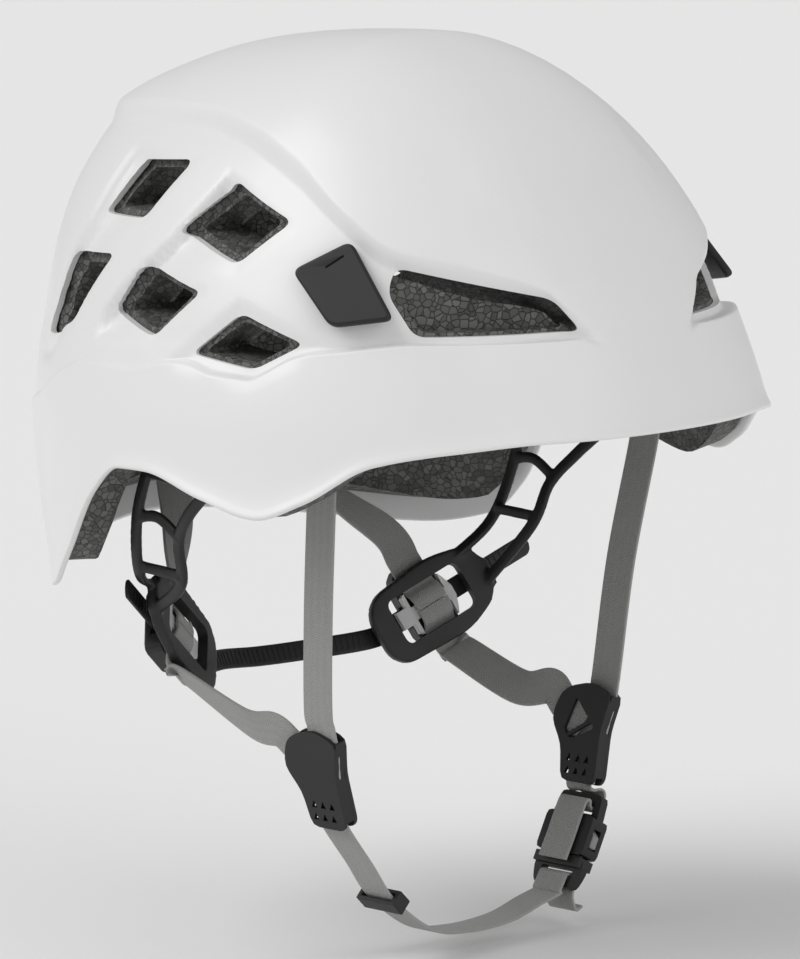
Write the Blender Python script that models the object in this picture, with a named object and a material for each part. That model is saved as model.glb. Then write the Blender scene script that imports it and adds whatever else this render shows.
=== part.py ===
"""Climbing helmet: shell, foam liner, lamp clips, nape cradle, webbing, strap dividers and chin buckle.

Axes: front of the helmet at -Y, wearer's right at -X, up +Z. The origin is the centre of the head opening,
level with the lower edge of the front brim. Lengths below are millimetres; MM turns them into metres.
"""
import math

import bmesh
import bpy
from mathutils import Matrix, Vector
from mathutils.geometry import tessellate_polygon

MM = 0.001

# ---- driving dimensions -------------------------------------------------------------------------------
CROWN_Z = 127.0            # top of the shell above the front brim
SHELL_CENTRE_Y = -11.0     # centre of the horizontal sections
HALF_WIDTH = 110.0         # dome half width, before the flare of the rim
FRONT_REACH = 112.0
REAR_REACH = 156.5
SHELL_WALL = 2.2
TOUCH = 0.3                # gap between pieces that touch
LINER_GAP = 1.0            # shell to foam, which also takes up the facets of both
LINER_RIM_THICK = 10.0
LINER_THICK = 19.0
CORE_THICK = 20.0
COLUMNS = 60               # facets around the shell

WEB_WIDTH = 13.0           # webbing
WEB_THICK = 1.2
PLATE_THICK = 4.0          # nape paddle
CLIP_THICK = 3.0           # lamp clip's lever
SIDES = {"right": -1, "left": 1}

# Lines around the shell, each as (angle from the front, height) on one side.
RIM_LINE = ((0, 0), (25, 0), (41, -2.5), (53, -7), (64, -20), (72, -26), (83, -21.5), (97, -15), (104, -15.5),
            (110, -26), (115, -47), (121, -60), (131, -63.5), (150, -60), (165, -56), (180, -54))
BELT_LINE = ((0, 31), (12, 31), (16, 33.5), (45, 33.5), (58, 31), (68, 28), (77, 20), (84, 20), (92, 23),
             (108, 18), (118, 18), (128, 13), (141, 0), (155, -5), (180, -6))
CAP_FOOT_LINE = ((0, 35), (15, 36), (21, 45), (36, 51), (52, 58), (60, 67), (76, 83), (97, 94), (117, 98),
                 (138, 97), (165, 92), (180, 91))
CAP_TOP_LINE = ((0, 39), (15, 40), (22, 49), (36, 57), (50, 62.5), (60, 73), (78, 92), (98, 100), (118, 103.5),
                (140, 103), (165, 99), (180, 98))
# How far the zone between belt and cap lies below them.
BELT_LEDGE = ((0, 0), (11, 0), (18, 4.5), (55, 4.5), (68, 2.5), (80, 1.5), (108, 0.8), (125, 1.5), (180, 1.5))
CAP_LEDGE = ((0, 0), (12, 0), (22, 3.2), (60, 3.6), (120, 4), (180, 4))

# Vents, as corners (angle, height) on one side.
VENTS = {
    "upper_rear": ((136.5, 63.6), (133, 83), (112.8, 86), (118, 65.5)),
    "upper_mid": ((105, 62.6), (94, 81), (74.5, 69.8), (85.3, 54.7)),
    "lower_rear": ((141, 49.6), (123.5, 52.7), (131.8, 27.3), (144.5, 19)),
    "lower_mid": ((111.8, 51), (92.6, 45), (102.3, 28.5), (118.3, 33.7)),
    "diamond": ((91.5, 24.8), (81.5, 39.5), (67.5, 31), (76.8, 21.6)),
    "front": ((49.5, 56.6), (20.3, 45.5), (15.3, 34.6), (45.7, 34.2), (50.8, 48.3)),
}
VENT_FOAM_SCALE = 0.86     # the wells in the foam are smaller than the vents

# Lamp clips, as corners (angle, height): root corners first, then the free end. The depths are those of the
# lever's back below the smooth surface, at its root and at its free end.
CLIPS = {
    "front": {"corners": ((59, 65.5), (70.5, 54.5), (61, 37), (49.5, 39.5)), "root": 2.2, "free": -0.6},
    "rear": {"corners": ((174, 42), (186, 42), (185.5, 19), (174.5, 19)), "root": -1.2, "free": -2.0},
}

# Webbing routes of the left side (x, y, z); the right side is their mirror image.
FRONT_STRAP = ((80.6, -48, 6), (81.8, -47, -6), (80.6, -45, -22), (76.2, -39, -62))
CHIN_SWING = (0.0, -36.6, -142.8)      # on the axis about which the chin loop swings, below both dividers
CHIN_ROUTE = ((-53, -35.5, -153), (-41, -35, -167.5), (-22, -35, -180.5), (-3, -35, -184), (18, -35, -183.5),
              (33, -35, -180), (42.5, -35, -178))


# ---- small tools --------------------------------------------------------------------------------------
def smooth(t):
    t = min(max(t, 0.0), 1.0)
    return t * t * (3 - 2 * t)


def along_line(line, angle):
    """Value of a line around the shell at an angle, eased between its points."""
    a = abs((angle + 180) % 360 - 180)
    for (a0, v0), (a1, v1) in zip(line, line[1:]):
        if a <= a1:
            return v0 + (v1 - v0) * smooth((a - a0) / (a1 - a0))
    return line[-1][1]


def dome(z, reach, blend, squareness, flare, flare_curve, flare_top):
    """Half size of the horizontal section at a height: a dome that flares below flare_top."""
    up = min(max(z / CROWN_Z, 0.0), 1.0)
    below = max(flare_top - z, 0.0)
    return reach * (1 - up ** blend) ** (1 / squareness) + flare * below + flare_curve * below * below


def rear_corner(z):
    """The cap ends in a corner at the back: a straighter slope above it and a little more reach at it."""
    return 2.6 * math.exp(-((z - 96) / 9) ** 2) - 2.2 * math.exp(-((z - 114) / 7) ** 2)


def shell_point(angle, z):
    """Smooth outer surface, before the belt, the cap and the vents."""
    t = math.radians(angle)
    s, c = math.sin(t), math.cos(t)
    half = dome(z, HALF_WIDTH, 1.66, 2.52, 0.12, 0.001, 30)
    if c > 0:
        reach = dome(z, FRONT_REACH, 2.07, 1.5, 0.11, 0.0027, 35)
    else:
        reach = dome(z, REAR_REACH, 4.0, 2.12, 0.05, -0.0054, 20) + rear_corner(z)
    half, reach = max(half, 0.01), max(reach, 0.01)
    n = 1.90 + 0.39 * smooth((1 + c) / 2)
    r = (abs(s / half) ** n + abs(c / reach) ** n) ** (-1 / n)
    return Vector((-r * s, -r * c + SHELL_CENTRE_Y, z))


def shell_normal(angle, z):
    top = min(z, CROWN_Z - 1.5)
    around = shell_point(angle + 1, top) - shell_point(angle - 1, top)
    upward = shell_point(angle, top + 0.5) - shell_point(angle, top - 0.5)
    return upward.cross(around).normalized()


def offset_point(angle, z, depth):
    return shell_point(angle, z) - shell_normal(angle, z) * depth


def new_object(name, bm, material=None):
    mesh = bpy.data.meshes.new(name)
    bmesh.ops.recalc_face_normals(bm, faces=bm.faces)
    bm.to_mesh(mesh)
    bm.free()
    obj = bpy.data.objects.new(name, mesh)
    bpy.context.collection.objects.link(obj)
    if material:
        mesh.materials.append(material)
    return obj


def shade_round(obj, angle=35):
    obj.data.shade_smooth()
    obj.data.set_sharp_from_angle(angle=math.radians(angle))


def combine(obj, others, operation):
    """Boolean the other objects into obj, apply it and remove them."""
    for other in others:
        mod = obj.modifiers.new(operation.lower(), "BOOLEAN")
        mod.operation = operation
        mod.solver = "EXACT"
        mod.object = other
    shape = obj.evaluated_get(bpy.context.evaluated_depsgraph_get())
    mesh = bpy.data.meshes.new_from_object(shape)
    obj.modifiers.clear()
    obj.data = mesh
    for other in others:
        bpy.data.objects.remove(other)
    return obj


def hang_on(point, *names):
    """Give moving pieces their joint's place as origin, without moving their shape."""
    place = Matrix.Translation(Vector(point) * MM)
    for name in names:
        obj = bpy.data.objects[name]
        obj.data.transform(place.inverted())
        obj.matrix_world = place @ obj.matrix_world


def material(name, colour, roughness, metallic=0.0):
    mat = bpy.data.materials.new(name)
    mat.use_nodes = True
    shader = mat.node_tree.nodes["Principled BSDF"]
    shader.inputs["Base Color"].default_value = (*colour, 1)
    shader.inputs["Roughness"].default_value = roughness
    shader.inputs["Metallic"].default_value = metallic
    return mat


class Frame:
    """A place with its own axes: u and v across a plate, n out of it."""

    def __init__(self, origin, u, v):
        self.origin = Vector(origin)
        self.u = Vector(u).normalized()
        self.n = self.u.cross(Vector(v)).normalized()
        self.v = self.n.cross(self.u)

    def at(self, u, v, n=0.0):
        return self.origin + self.u * u + self.v * v + self.n * n


def prism(name, frame, loops, n0, n1, mat=None):
    """A plate between two heights, with an outline and holes given in the frame."""
    bm = bmesh.new()
    rings = []
    for loop in loops:
        low = [bm.verts.new(frame.at(u, v, n0) * MM) for u, v in loop]
        high = [bm.verts.new(frame.at(u, v, n1) * MM) for u, v in loop]
        rings.append((low, high))
        for i in range(len(loop)):
            j = (i + 1) % len(loop)
            bm.faces.new((low[i], low[j], high[j], high[i]))
    lows = [v for low, _ in rings for v in low]
    highs = [v for _, high in rings for v in high]
    flat = [[Vector((u, v, 0)) for u, v in loop] for loop in loops]
    for a, b, c in tessellate_polygon(flat):
        bm.faces.new((lows[a], lows[b], lows[c]))
        bm.faces.new((highs[c], highs[b], highs[a]))
    return new_object(name, bm, mat)


def rounded(points, radius, steps=3):
    """Outline with its corners replaced by arcs."""
    outline = []
    count = len(points)
    for i in range(count):
        corner = Vector(points[i])
        before = (Vector(points[i - 1]) - corner)
        after = (Vector(points[(i + 1) % count]) - corner)
        reach = min(radius, before.length / 2.01, after.length / 2.01)
        start = corner + before.normalized() * reach
        end = corner + after.normalized() * reach
        for k in range(steps + 1):
            t = k / steps
            outline.append(tuple(start.lerp(corner, t).lerp(corner.lerp(end, t), t)))
    return outline


def rectangle(u0, u1, v0, v1):
    return [(u0, v0), (u1, v0), (u1, v1), (u0, v1)]


def block(name, frame, u0, u1, v0, v1, n0, n1, mat=None):
    return prism(name, frame, [rectangle(u0, u1, v0, v1)], n0, n1, mat)


def disc(radius, steps, centre=(0, 0)):
    turn = 2 * math.pi / steps
    return [(centre[0] + radius * math.cos(i * turn), centre[1] + radius * math.sin(i * turn)) for i in range(steps)]


def through(points, steps):
    """Smooth curve through the points (Catmull-Rom), with a number of steps on each span."""
    pts = [Vector(p) for p in points]
    pts = [2 * pts[0] - pts[1]] + pts + [2 * pts[-1] - pts[-2]]
    curve = []
    for i in range(1, len(pts) - 2):
        p0, p1, p2, p3 = pts[i - 1:i + 3]
        for k in range(steps):
            t = k / steps
            curve.append(0.5 * (2 * p1 + (p2 - p0) * t + (2 * p0 - 5 * p1 + 4 * p2 - p3) * t * t
                                + (3 * p1 - p0 - 3 * p2 + p3) * t ** 3))
    curve.append(pts[-2])
    return curve


def ribbon(name, curve, across, width, thick, mat=None, twist=(0, 1)):
    """Flat strip along a curve. across is the width direction: one vector, or one for each end of the twist."""
    bm = bmesh.new()
    rings = []
    first, last = across if isinstance(across[0], (tuple, Vector)) else (across, across)
    first, last = Vector(first), Vector(last)
    for i, p in enumerate(curve):
        ahead = (curve[min(i + 1, len(curve) - 1)] - curve[max(i - 1, 0)]).normalized()
        share = i / (len(curve) - 1)
        side = first.lerp(last, smooth((share - twist[0]) / (twist[1] - twist[0])))
        side = (side - ahead * side.dot(ahead)).normalized() * width / 2
        out = ahead.cross(side).normalized() * thick / 2
        rings.append([bm.verts.new((p + a * side + b * out) * MM) for a, b in ((1, 1), (-1, 1), (-1, -1), (1, -1))])
    for low, high in zip(rings, rings[1:]):
        for k in range(4):
            bm.faces.new((low[k], low[(k + 1) % 4], high[(k + 1) % 4], high[k]))
    bm.faces.new(rings[0][::-1])
    bm.faces.new(rings[-1])
    return new_object(name, bm, mat)


def mirrored(points, side):
    """Points given for the wearer's left, on either side."""
    return [Vector((p[0] * side, p[1], p[2])) for p in points]


# ---- shell and foam -----------------------------------------------------------------------------------
def column_angles(columns):
    return [360 * i / columns for i in range(columns)]


def dome_rings(rows, columns, top):
    """Rings of points from rows (functions of the angle), and the point that closes the dome, or None."""
    return [[row(a) for a in column_angles(columns)] for row in rows], top


def closed_wall(name, outer, inner, mat):
    """Join an outer and an inner dome (or band) into one closed solid."""
    bm = bmesh.new()
    sheets = []
    for rings, top in (outer, inner):
        verts = [[bm.verts.new(p * MM) for p in ring] for ring in rings]
        for low, high in zip(verts, verts[1:]):
            bridge(bm, low, high)
        if top is not None:
            pole = bm.verts.new(top * MM)
            for i, v in enumerate(verts[-1]):
                bm.faces.new((v, verts[-1][(i + 1) % len(verts[-1])], pole))
        sheets.append(verts)
    bridge(bm, sheets[0][0], sheets[1][0])
    if outer[1] is None:
        bridge(bm, sheets[0][-1], sheets[1][-1])
    return new_object(name, bm, mat)


def bridge(bm, low, high):
    for i in range(len(low)):
        j = (i + 1) % len(low)
        bm.faces.new((low[i], low[j], high[j], high[i]))


def surface_row(line, offset, depth, lift=0.0):
    """Row of the outer surface: height from a line, sunk by depth (a line) plus a constant offset."""
    def row(angle):
        sunk = along_line(depth, angle) if depth else 0.0
        return offset_point(angle, along_line(line, angle) + lift, sunk + offset)
    return row


def between_row(share, offset, depth_share):
    """Row between belt and cap, sunk by a mix of both ledges."""
    def row(angle):
        low, high = along_line(BELT_LINE, angle), along_line(CAP_FOOT_LINE, angle)
        sunk = along_line(BELT_LEDGE, angle) * (1 - depth_share) + along_line(CAP_LEDGE, angle) * depth_share
        return offset_point(angle, low + (high - low) * share, sunk + offset)
    return row


def cap_row(share, offset):
    """Row of the cap, from its edge (share 0) to the crown (share 1)."""
    def row(angle):
        foot = along_line(CAP_TOP_LINE, angle)
        return offset_point(angle, foot + (CROWN_Z - foot) * (1 - (1 - share) ** 2), offset)
    return row


def lower_rows(offset, lift=0.0):
    """Rows from the rim up to the belt's edge."""
    def part_way(share):
        def row(angle):
            low, high = along_line(RIM_LINE, angle) + lift, along_line(BELT_LINE, angle)
            return offset_point(angle, low + (high - low) * share, offset)
        return row
    return [surface_row(RIM_LINE, offset, None, lift), part_way(0.33), part_way(0.67),
            surface_row(BELT_LINE, offset, None, -1.2)]


def zone_rows(offset):
    """Rows of the sunken zone between belt and cap, with the cap's edge."""
    return [surface_row(BELT_LINE, offset, BELT_LEDGE, 0.6), between_row(0.36, offset, 0.3),
            between_row(0.7, offset, 0.7), surface_row(CAP_FOOT_LINE, offset, CAP_LEDGE),
            surface_row(CAP_TOP_LINE, offset, None)]


def vent_cutter(name, corners, side, inner, outer, scale=1.0):
    """Prism through the wall over a vent's corners, from depth inner to height outer."""
    mid_a = sum(a for a, _ in corners) / len(corners)
    mid_z = sum(z for _, z in corners) / len(corners)
    bm = bmesh.new()
    rings = []
    centre = shell_point(side_angle(mid_a, side), mid_z)
    axis = shell_normal(side_angle(mid_a, side), mid_z)
    for depth in (outer, -inner):
        ring = []
        for a, z in corners:
            corner = shell_point(side_angle(a, side), z)
            flat = centre + (corner - centre) * scale
            ring.append(bm.verts.new((flat + axis * depth) * MM))
        rings.append(ring)
    bridge(bm, rings[0], rings[1])
    bm.faces.new(rings[0])
    bm.faces.new(rings[1])
    return new_object(name, bm)


def side_angle(angle, side):
    """Angle on the wearer's right (side -1) or left (side 1)."""
    return angle if side < 0 else -angle


def build_shell(mats):
    crown_shares = (0.2, 0.4, 0.6, 0.8)
    skins = []
    for offset in (0.0, SHELL_WALL):
        rows = lower_rows(offset) + zone_rows(offset) + [cap_row(s, offset) for s in crown_shares]
        skins.append(dome_rings(rows, COLUMNS, Vector((0, SHELL_CENTRE_Y, CROWN_Z - offset))))
    shell = closed_wall("outer_shell", skins[0], skins[1], mats["shell"])
    cutters = [vent_cutter(f"cut_{name}_{key}", corners, side, 24, 14)
               for key, side in SIDES.items() for name, corners in VENTS.items()]
    combine(shell, cutters, "DIFFERENCE")
    shade_round(shell, 28)


def liner_inner(angle, z):
    """Inner face of the foam at an angle and height."""
    rise = z - along_line(RIM_LINE, angle)
    thick = LINER_RIM_THICK + (LINER_THICK - LINER_RIM_THICK) * smooth(rise / 45)
    return offset_point(angle, z, SHELL_WALL + LINER_GAP + thick)


def build_liner(mats):
    skin = SHELL_WALL + LINER_GAP
    rows = lower_rows(skin, 2.5) + zone_rows(skin)[:-1]
    outer = dome_rings(rows, COLUMNS, None)

    def inner_row(share):
        def row(angle):
            low = along_line(RIM_LINE, angle) + 2.5
            high = along_line(CAP_FOOT_LINE, angle)
            return liner_inner(angle, low + (high - low) * share)
        return row
    inner = dome_rings([inner_row(s) for s in (0, 0.25, 0.5, 0.75, 1.0)], COLUMNS, None)
    liner = closed_wall("foam_liner", outer, inner, mats["foam"])
    cutters = []
    for key, side in SIDES.items():
        for name, corners in VENTS.items():
            if name != "front":
                cutters.append(vent_cutter(f"well_{name}_{key}", corners, side, 40, 12, VENT_FOAM_SCALE))
        cutters.append(vent_cutter(f"well_front_{key}", VENTS["front"], side, 12, 12, VENT_FOAM_SCALE))
    combine(liner, cutters, "DIFFERENCE")
    shade_round(liner, 40)


def build_crown_core(mats):
    """Crown foam above the side foam: its foot rests on the liner's top face, with a small gap."""
    lift = 1.0
    skin = SHELL_WALL + LINER_GAP
    columns = COLUMNS // 2

    def row(share, depth):
        def place(angle):
            foot = along_line(CAP_TOP_LINE, angle) + lift
            return offset_point(angle, foot + (CROWN_Z - foot) * (1 - (1 - share) ** 2), depth)
        return place
    shares = (0.0, 0.25, 0.5, 0.78)
    skins = [dome_rings([row(s, depth) for s in shares], columns, Vector((0, SHELL_CENTRE_Y, CROWN_Z - depth)))
             for depth in (skin + 1.2, skin + CORE_THICK)]
    core = closed_wall("crown_core", skins[0], skins[1], mats["core"])
    shade_round(core, 40)


def curved_pad(name, angles, heights, thick, depth, mats, segments=8):
    """Comfort pad that follows the foam's inner face, depth below the shell's outer surface."""
    bm = bmesh.new()
    rings = []
    for i in range(segments + 1):
        a = angles[0] + (angles[1] - angles[0]) * i / segments
        ring = []
        for z, d in ((heights[0], 0), (heights[1], 0), (heights[1], thick), (heights[0], thick)):
            face = offset_point(a, z, depth)
            inward = shell_normal(a, (heights[0] + heights[1]) / 2)
            ring.append(bm.verts.new((face - inward * d) * MM))
        rings.append(ring)
    for low, high in zip(rings, rings[1:]):
        bridge(bm, low, high)
    bm.faces.new(rings[0])
    bm.faces.new(rings[-1])
    shade_round(new_object(name, bm, mats["pad"]), 50)


def build_pads(mats):
    inner = SHELL_WALL + LINER_GAP + LINER_THICK + 1.5
    curved_pad("pad_front", (-38, 38), (12, 34), 6, inner - 1.0, mats, 10)
    curved_pad("pad_rear", (158, 202), (30, 52), 6, inner, mats, 6)
    core = SHELL_WALL + LINER_GAP + CORE_THICK
    skins = []
    for depth in (core + 1.5, core + 7.0):
        rows = [cap_row(share, depth) for share in (0.62, 0.7, 0.85)]
        skins.append((dome_rings(rows, 24, Vector((0, SHELL_CENTRE_Y, CROWN_Z - depth)))))
    shade_round(closed_wall("pad_crown", skins[0], skins[1], mats["pad"]), 50)


# ---- lamp clips ---------------------------------------------------------------------------------------
def zone_depth(angle, z):
    """How far the surface is sunk at a point between belt and cap."""
    low, high = along_line(BELT_LINE, angle), along_line(CAP_FOOT_LINE, angle)
    share = min(max((z - low) / (high - low), 0.0), 1.0)
    return along_line(BELT_LEDGE, angle) * (1 - share) + along_line(CAP_LEDGE, angle) * share


def clip_frame(spec, side):
    """Plane of a lever's back: v runs from the free end to the root, n out of the helmet."""
    depths = (spec["root"], spec["root"], spec["free"], spec["free"])
    pts = [offset_point(side_angle(a, side), z, depth) for (a, z), depth in zip(spec["corners"], depths)]
    root, free = (pts[0] + pts[1]) / 2, (pts[2] + pts[3]) / 2
    normal = (pts[0] - pts[2]).cross(pts[1] - pts[3]).normalized()
    centre = (root + free) / 2
    if normal.dot(centre - Vector((0, SHELL_CENTRE_Y, centre.z))) < 0:
        normal.negate()
    frame = Frame(centre, (root - free).cross(normal), root - free)
    outline = [((p - centre).dot(frame.u), (p - centre).dot(frame.v)) for p in pts]
    return frame, outline


def clip_hinge(frame, outline):
    """Middle of a lever's hinge line, over its root block."""
    return frame.at((outline[0][0] + outline[1][0]) / 2, (outline[0][1] + outline[1][1]) / 2 - 4.5)


def build_clip(name, spec, side, mats):
    """Lever plate on a root block that passes through a slot in the shell."""
    frame, outline = clip_frame(spec, side)
    prism(f"clip_{name}", frame, [rounded(outline, 4.5)], 0, CLIP_THICK, mats["plastic"])
    mid = sum(u for u, _ in outline[:2]) / 2
    top = sum(v for _, v in outline[:2]) / 2
    angle = sum(a for a, _ in spec["corners"][:2]) / 2
    height = sum(z for _, z in spec["corners"][:2]) / 2 - 3
    skin = offset_point(side_angle(angle, side), height, zone_depth(angle, height))
    sill = (skin - frame.origin).dot(frame.n)
    block(f"clip_root_{name}", frame, mid - 5, mid + 5, top - 9, top - 4, sill - SHELL_WALL - TOUCH, -TOUCH,
          mats["plastic"])
    slot = block(f"slot_{name}", frame, mid - 5.5, mid + 5.5, top - 9.5, top - 3.5, sill - 12, 3)
    combine(bpy.data.objects["outer_shell"], [slot], "DIFFERENCE")
    hang_on(clip_hinge(frame, outline), f"clip_{name}")


# ---- nape cradle --------------------------------------------------------------------------------------
# The two paddles hang a little unevenly: the wearer's right one is higher and steeper.
PADDLE = {
    "right": {"centre": (-62.5, 40.5, -80.5), "along": (-41, -11, 33), "band_end": 33},
    "left": {"centre": (62.5, 40.5, -86.5), "along": (41, -11, 19), "band_end": 48},
}
PADDLE_FACING = (0.36, 0.88, -0.31)      # outward normal of the left paddle, before it is squared to its length
PADDLE_OUTLINE = ((-25, -9), (-20, -14.5), (8, -15.5), (23, -10), (27, 2), (22, 12), (6, 15.5), (-19, 13), (-25, 7))
WINDOW_HALF = (16.5, 8.8)
BAND_WIDTH = 7.4
BAND_THICK = 1.4
BAND_LEVEL = 6.6                          # band centre above the paddle's mid plane
OVER_RIM = PLATE_THICK / 2 + TOUCH + WEB_THICK / 2
IN_WINDOW = -0.6
PIVOT = (8.0, -8.0)                       # the cradle's fold axis: y, z
PIVOT_FLANGE = (94.6, 96.8)               # flange of its pin, between the arm and the foam
PIVOT_PIN = 2.3                           # radius


def paddle_frame(key):
    """u along the paddle towards its arm, v up across it, n out of the helmet."""
    side = SIDES[key]
    spec = PADDLE[key]
    along = Vector(spec["along"]).normalized()
    facing = Vector((PADDLE_FACING[0] * side, PADDLE_FACING[1], PADDLE_FACING[2]))
    across = facing.cross(along) * side
    if across.z < 0:
        across.negate()
    frame = Frame(spec["centre"], along, across)
    if frame.n.dot(facing) < 0:
        frame.n.negate()
    return frame


def build_paddle(key, mats):
    """Cradle frame: the paddle plate and the ladder arm, moulded as one piece."""
    side = SIDES[key]
    frame = paddle_frame(key)
    half_u, half_v = WINDOW_HALF
    window = rounded(rectangle(-half_u, half_u - 1, -half_v, half_v), 3, 2)
    plate = prism(f"cradle_frame_{key}", frame, [rounded(PADDLE_OUTLINE, 5, 2), window],
                  -PLATE_THICK / 2, PLATE_THICK / 2, mats["plastic"])

    def world(x, y, z):
        return Vector((x * side, y, z))
    rear = [frame.at(16, 10), world(88, 35, -58), world(94.5, 30, -37), world(93.4, 25.5, -19), world(90, 22.5, -8)]
    front = [frame.at(22, -4), world(88, 15, -58), world(93, 11, -43), world(97, 2, -32), world(98.4, -12, -20),
             world(96.3, -23, -10)]
    links = [
        [world(89, 34, -54), world(89.5, 14, -55)],
        [world(94.5, 30, -36), world(94.2, 20, -35), world(94, 9.5, -41)],
        [world(93.4, 25.5, -20), world(95.6, 12, -20.5), world(98.2, -11, -20)],
        [world(90, 23, -8.5), world(92.6, 8, -8), world(96, -22, -11)],
    ]
    bars = []
    for name, route in (("rear", rear), ("front", front)):
        bars.append(ribbon(f"rail_{name}_{key}", through(route, 4), (0, 1, 0.2), 4.4, 2.6))
    for i, route in enumerate(links):
        bars.append(ribbon(f"link_{i}_{key}", through(route, 3), (0, 0.2, 1), 4.2, 2.5))
    bars.append(prism(f"heel_{key}", frame, [[(14.5, 11), (14.5, -11), (26, -6), (27, 3), (21, 11.5)]], -1.9, 1.9))
    hub = Frame(world(0, *PIVOT), (0, 1, 0), (0, 0, 1))

    def round_piece(name, radius, x0, x1, mat=None):
        return prism(name, hub, [disc(radius, 12)], *sorted((x0 * side, x1 * side)), mat)
    flange, foam_face = PIVOT_FLANGE
    inner_face = flange - 3.6
    bars.append(round_piece(f"boss_{key}", 5.5, inner_face, flange - TOUCH))
    combine(plate, bars, "UNION")
    combine(plate, [round_piece(f"bore_{key}", PIVOT_PIN + 0.4, inner_face - 4, flange + 1)], "DIFFERENCE")
    shade_round(plate)
    pin = round_piece(f"cradle_pivot_{key}", PIVOT_PIN, inner_face - 0.8, foam_face, mats["plastic"])
    combine(pin, [round_piece(f"flange_{key}", 4.5, flange, foam_face)], "UNION")


def catch_outline():
    """Disc with a tongue towards the nape, cut back where the webbing crosses it."""
    reach, radius, notch, neck = WINDOW_HALF[1] - 0.6, 10.8, 7.6, 2.6
    edge = math.asin(reach / radius)
    steps = 5
    lobe = []
    for i in range(steps + 1):
        a = -edge + 2 * edge * i / steps
        lobe.append((max(radius * math.cos(a), notch + 0.4), radius * math.sin(a)))
    tongue = [(notch, reach), (notch, neck), (-notch, neck), (-notch, reach), (-9.5, reach - 1), (-9.5, 3.5),
              (-14, 3.5), (-14, -3.5), (-9.5, -3.5), (-9.5, 1 - reach), (-notch, -reach), (-notch, -neck),
              (notch, -neck), (notch, -reach)]
    return lobe + tongue


def build_adjuster(key, mats):
    """Outer slider that carries the band, and the translucent catch in the paddle's window."""
    frame = paddle_frame(key)
    low = OVER_RIM + WEB_THICK / 2 + 2 * TOUCH
    outline = [(-9, -11), (9, -11), (9, 12), (5, 17), (-5, 17), (-9, 12)]
    body = prism(f"band_slider_{key}", frame, [rounded(outline, 3, 2)], low, BAND_LEVEL + 4.2, mats["plastic"])
    play = 0.5
    tunnel = block(f"tunnel_{key}", frame, -20, 20, -BAND_WIDTH / 2 - play, BAND_WIDTH / 2 + play,
                   BAND_LEVEL - BAND_THICK / 2 - play, BAND_LEVEL + BAND_THICK / 2 + play)
    combine(body, [tunnel], "DIFFERENCE")
    prism(f"catch_{key}", frame, [catch_outline()], 0.7, 3.0, mats["catch"])


def build_band(mats):
    """Ribbed nape band: straight through both sliders and round the nape between them."""
    left, right = paddle_frame("left"), paddle_frame("right")
    start = [left.at(u, 0, BAND_LEVEL) for u in (PADDLE["left"]["band_end"], 26, 12, -12, -24)]
    end = [right.at(u, 0, BAND_LEVEL) for u in (-24, -12, 12, 26, PADDLE["right"]["band_end"])]
    middle = [Vector((22, 63, -101)), Vector((0, 66, -101)), Vector((-22, 63, -99))]
    band = ribbon("nape_band", through(start + middle + end, 3), (left.v, right.v), BAND_WIDTH, BAND_THICK,
                  mats["plastic"])
    shade_round(band)


# ---- webbing ------------------------------------------------------------------------------------------
DIVIDER_TOP = (70.5, -29.5, -105)
DIVIDER_FOOT = (62.2, -36.5, -139)
SAG = {"right": 0.0, "left": -3.3}        # the left divider hangs a little lower
LAYER = (WEB_THICK + TOUCH) / 2           # mid plane of the divider to that of each webbing layer
DIVIDER_GAP = LAYER + WEB_THICK / 2 + TOUCH
DIVIDER_PLATE = 1.5


def divider_frame(key):
    """u rearward, v up along the webbing, n out of the helmet."""
    side = SIDES[key]
    top = Vector((DIVIDER_TOP[0] * side, DIVIDER_TOP[1], DIVIDER_TOP[2] + SAG[key]))
    foot = Vector((DIVIDER_FOOT[0] * side, DIVIDER_FOOT[1], DIVIDER_FOOT[2] + SAG[key]))
    frame = Frame((top + foot) / 2, (0, 1, 0), top - foot)
    if frame.n.x * side < 0:
        frame.n.negate()
    return frame


def build_divider(key, mats):
    """Two halves that clamp the webbing; the inner one has a three-cornered window."""
    frame = divider_frame(key)
    outline = [(9.5, 16), (0, 18.5), (-10, 15), (-7.5, 2), (-8.5, -15), (-7, -17.5), (7.5, -17.5), (10, -5),
               (16, 3.5), (15, 9), (13, 13.5)]
    holes = [[(u - 1.3, v - 1.2), (u + 1.3, v - 1.2), (u, v + 1.4)] for u in (5.0, 0.8, -3.4) for v in (-9, -13.5)]
    window = rounded([(6.1, 12.5), (-4.5, 2.3), (5.7, -2.6), (9.8, 0.2)], 1, 1)
    prism(f"divider_outer_{key}", frame, [rounded(outline, 3, 2)] + holes, DIVIDER_GAP,
          DIVIDER_GAP + DIVIDER_PLATE, mats["plastic"])
    prism(f"divider_inner_{key}", frame, [rounded(outline, 3, 2), window] + holes, -DIVIDER_GAP - DIVIDER_PLATE,
          -DIVIDER_GAP, mats["plastic"])


def build_front_strap(key, mats):
    """Front webbing, from its anchor in the foam into the divider's outer layer."""
    frame = divider_frame(key)
    route = mirrored(FRONT_STRAP, SIDES[key])
    route += [frame.at(-2.7, 27, LAYER - 0.4), frame.at(-2.7, 19, LAYER), frame.at(-2.7, 12, LAYER),
              frame.at(-1.5, 5, LAYER), frame.at(-0.6, -2.5, LAYER)]
    ribbon(f"front_strap_{key}", through(route, 4), (0, 1, 0), WEB_WIDTH, WEB_THICK, mats["webbing"])


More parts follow.
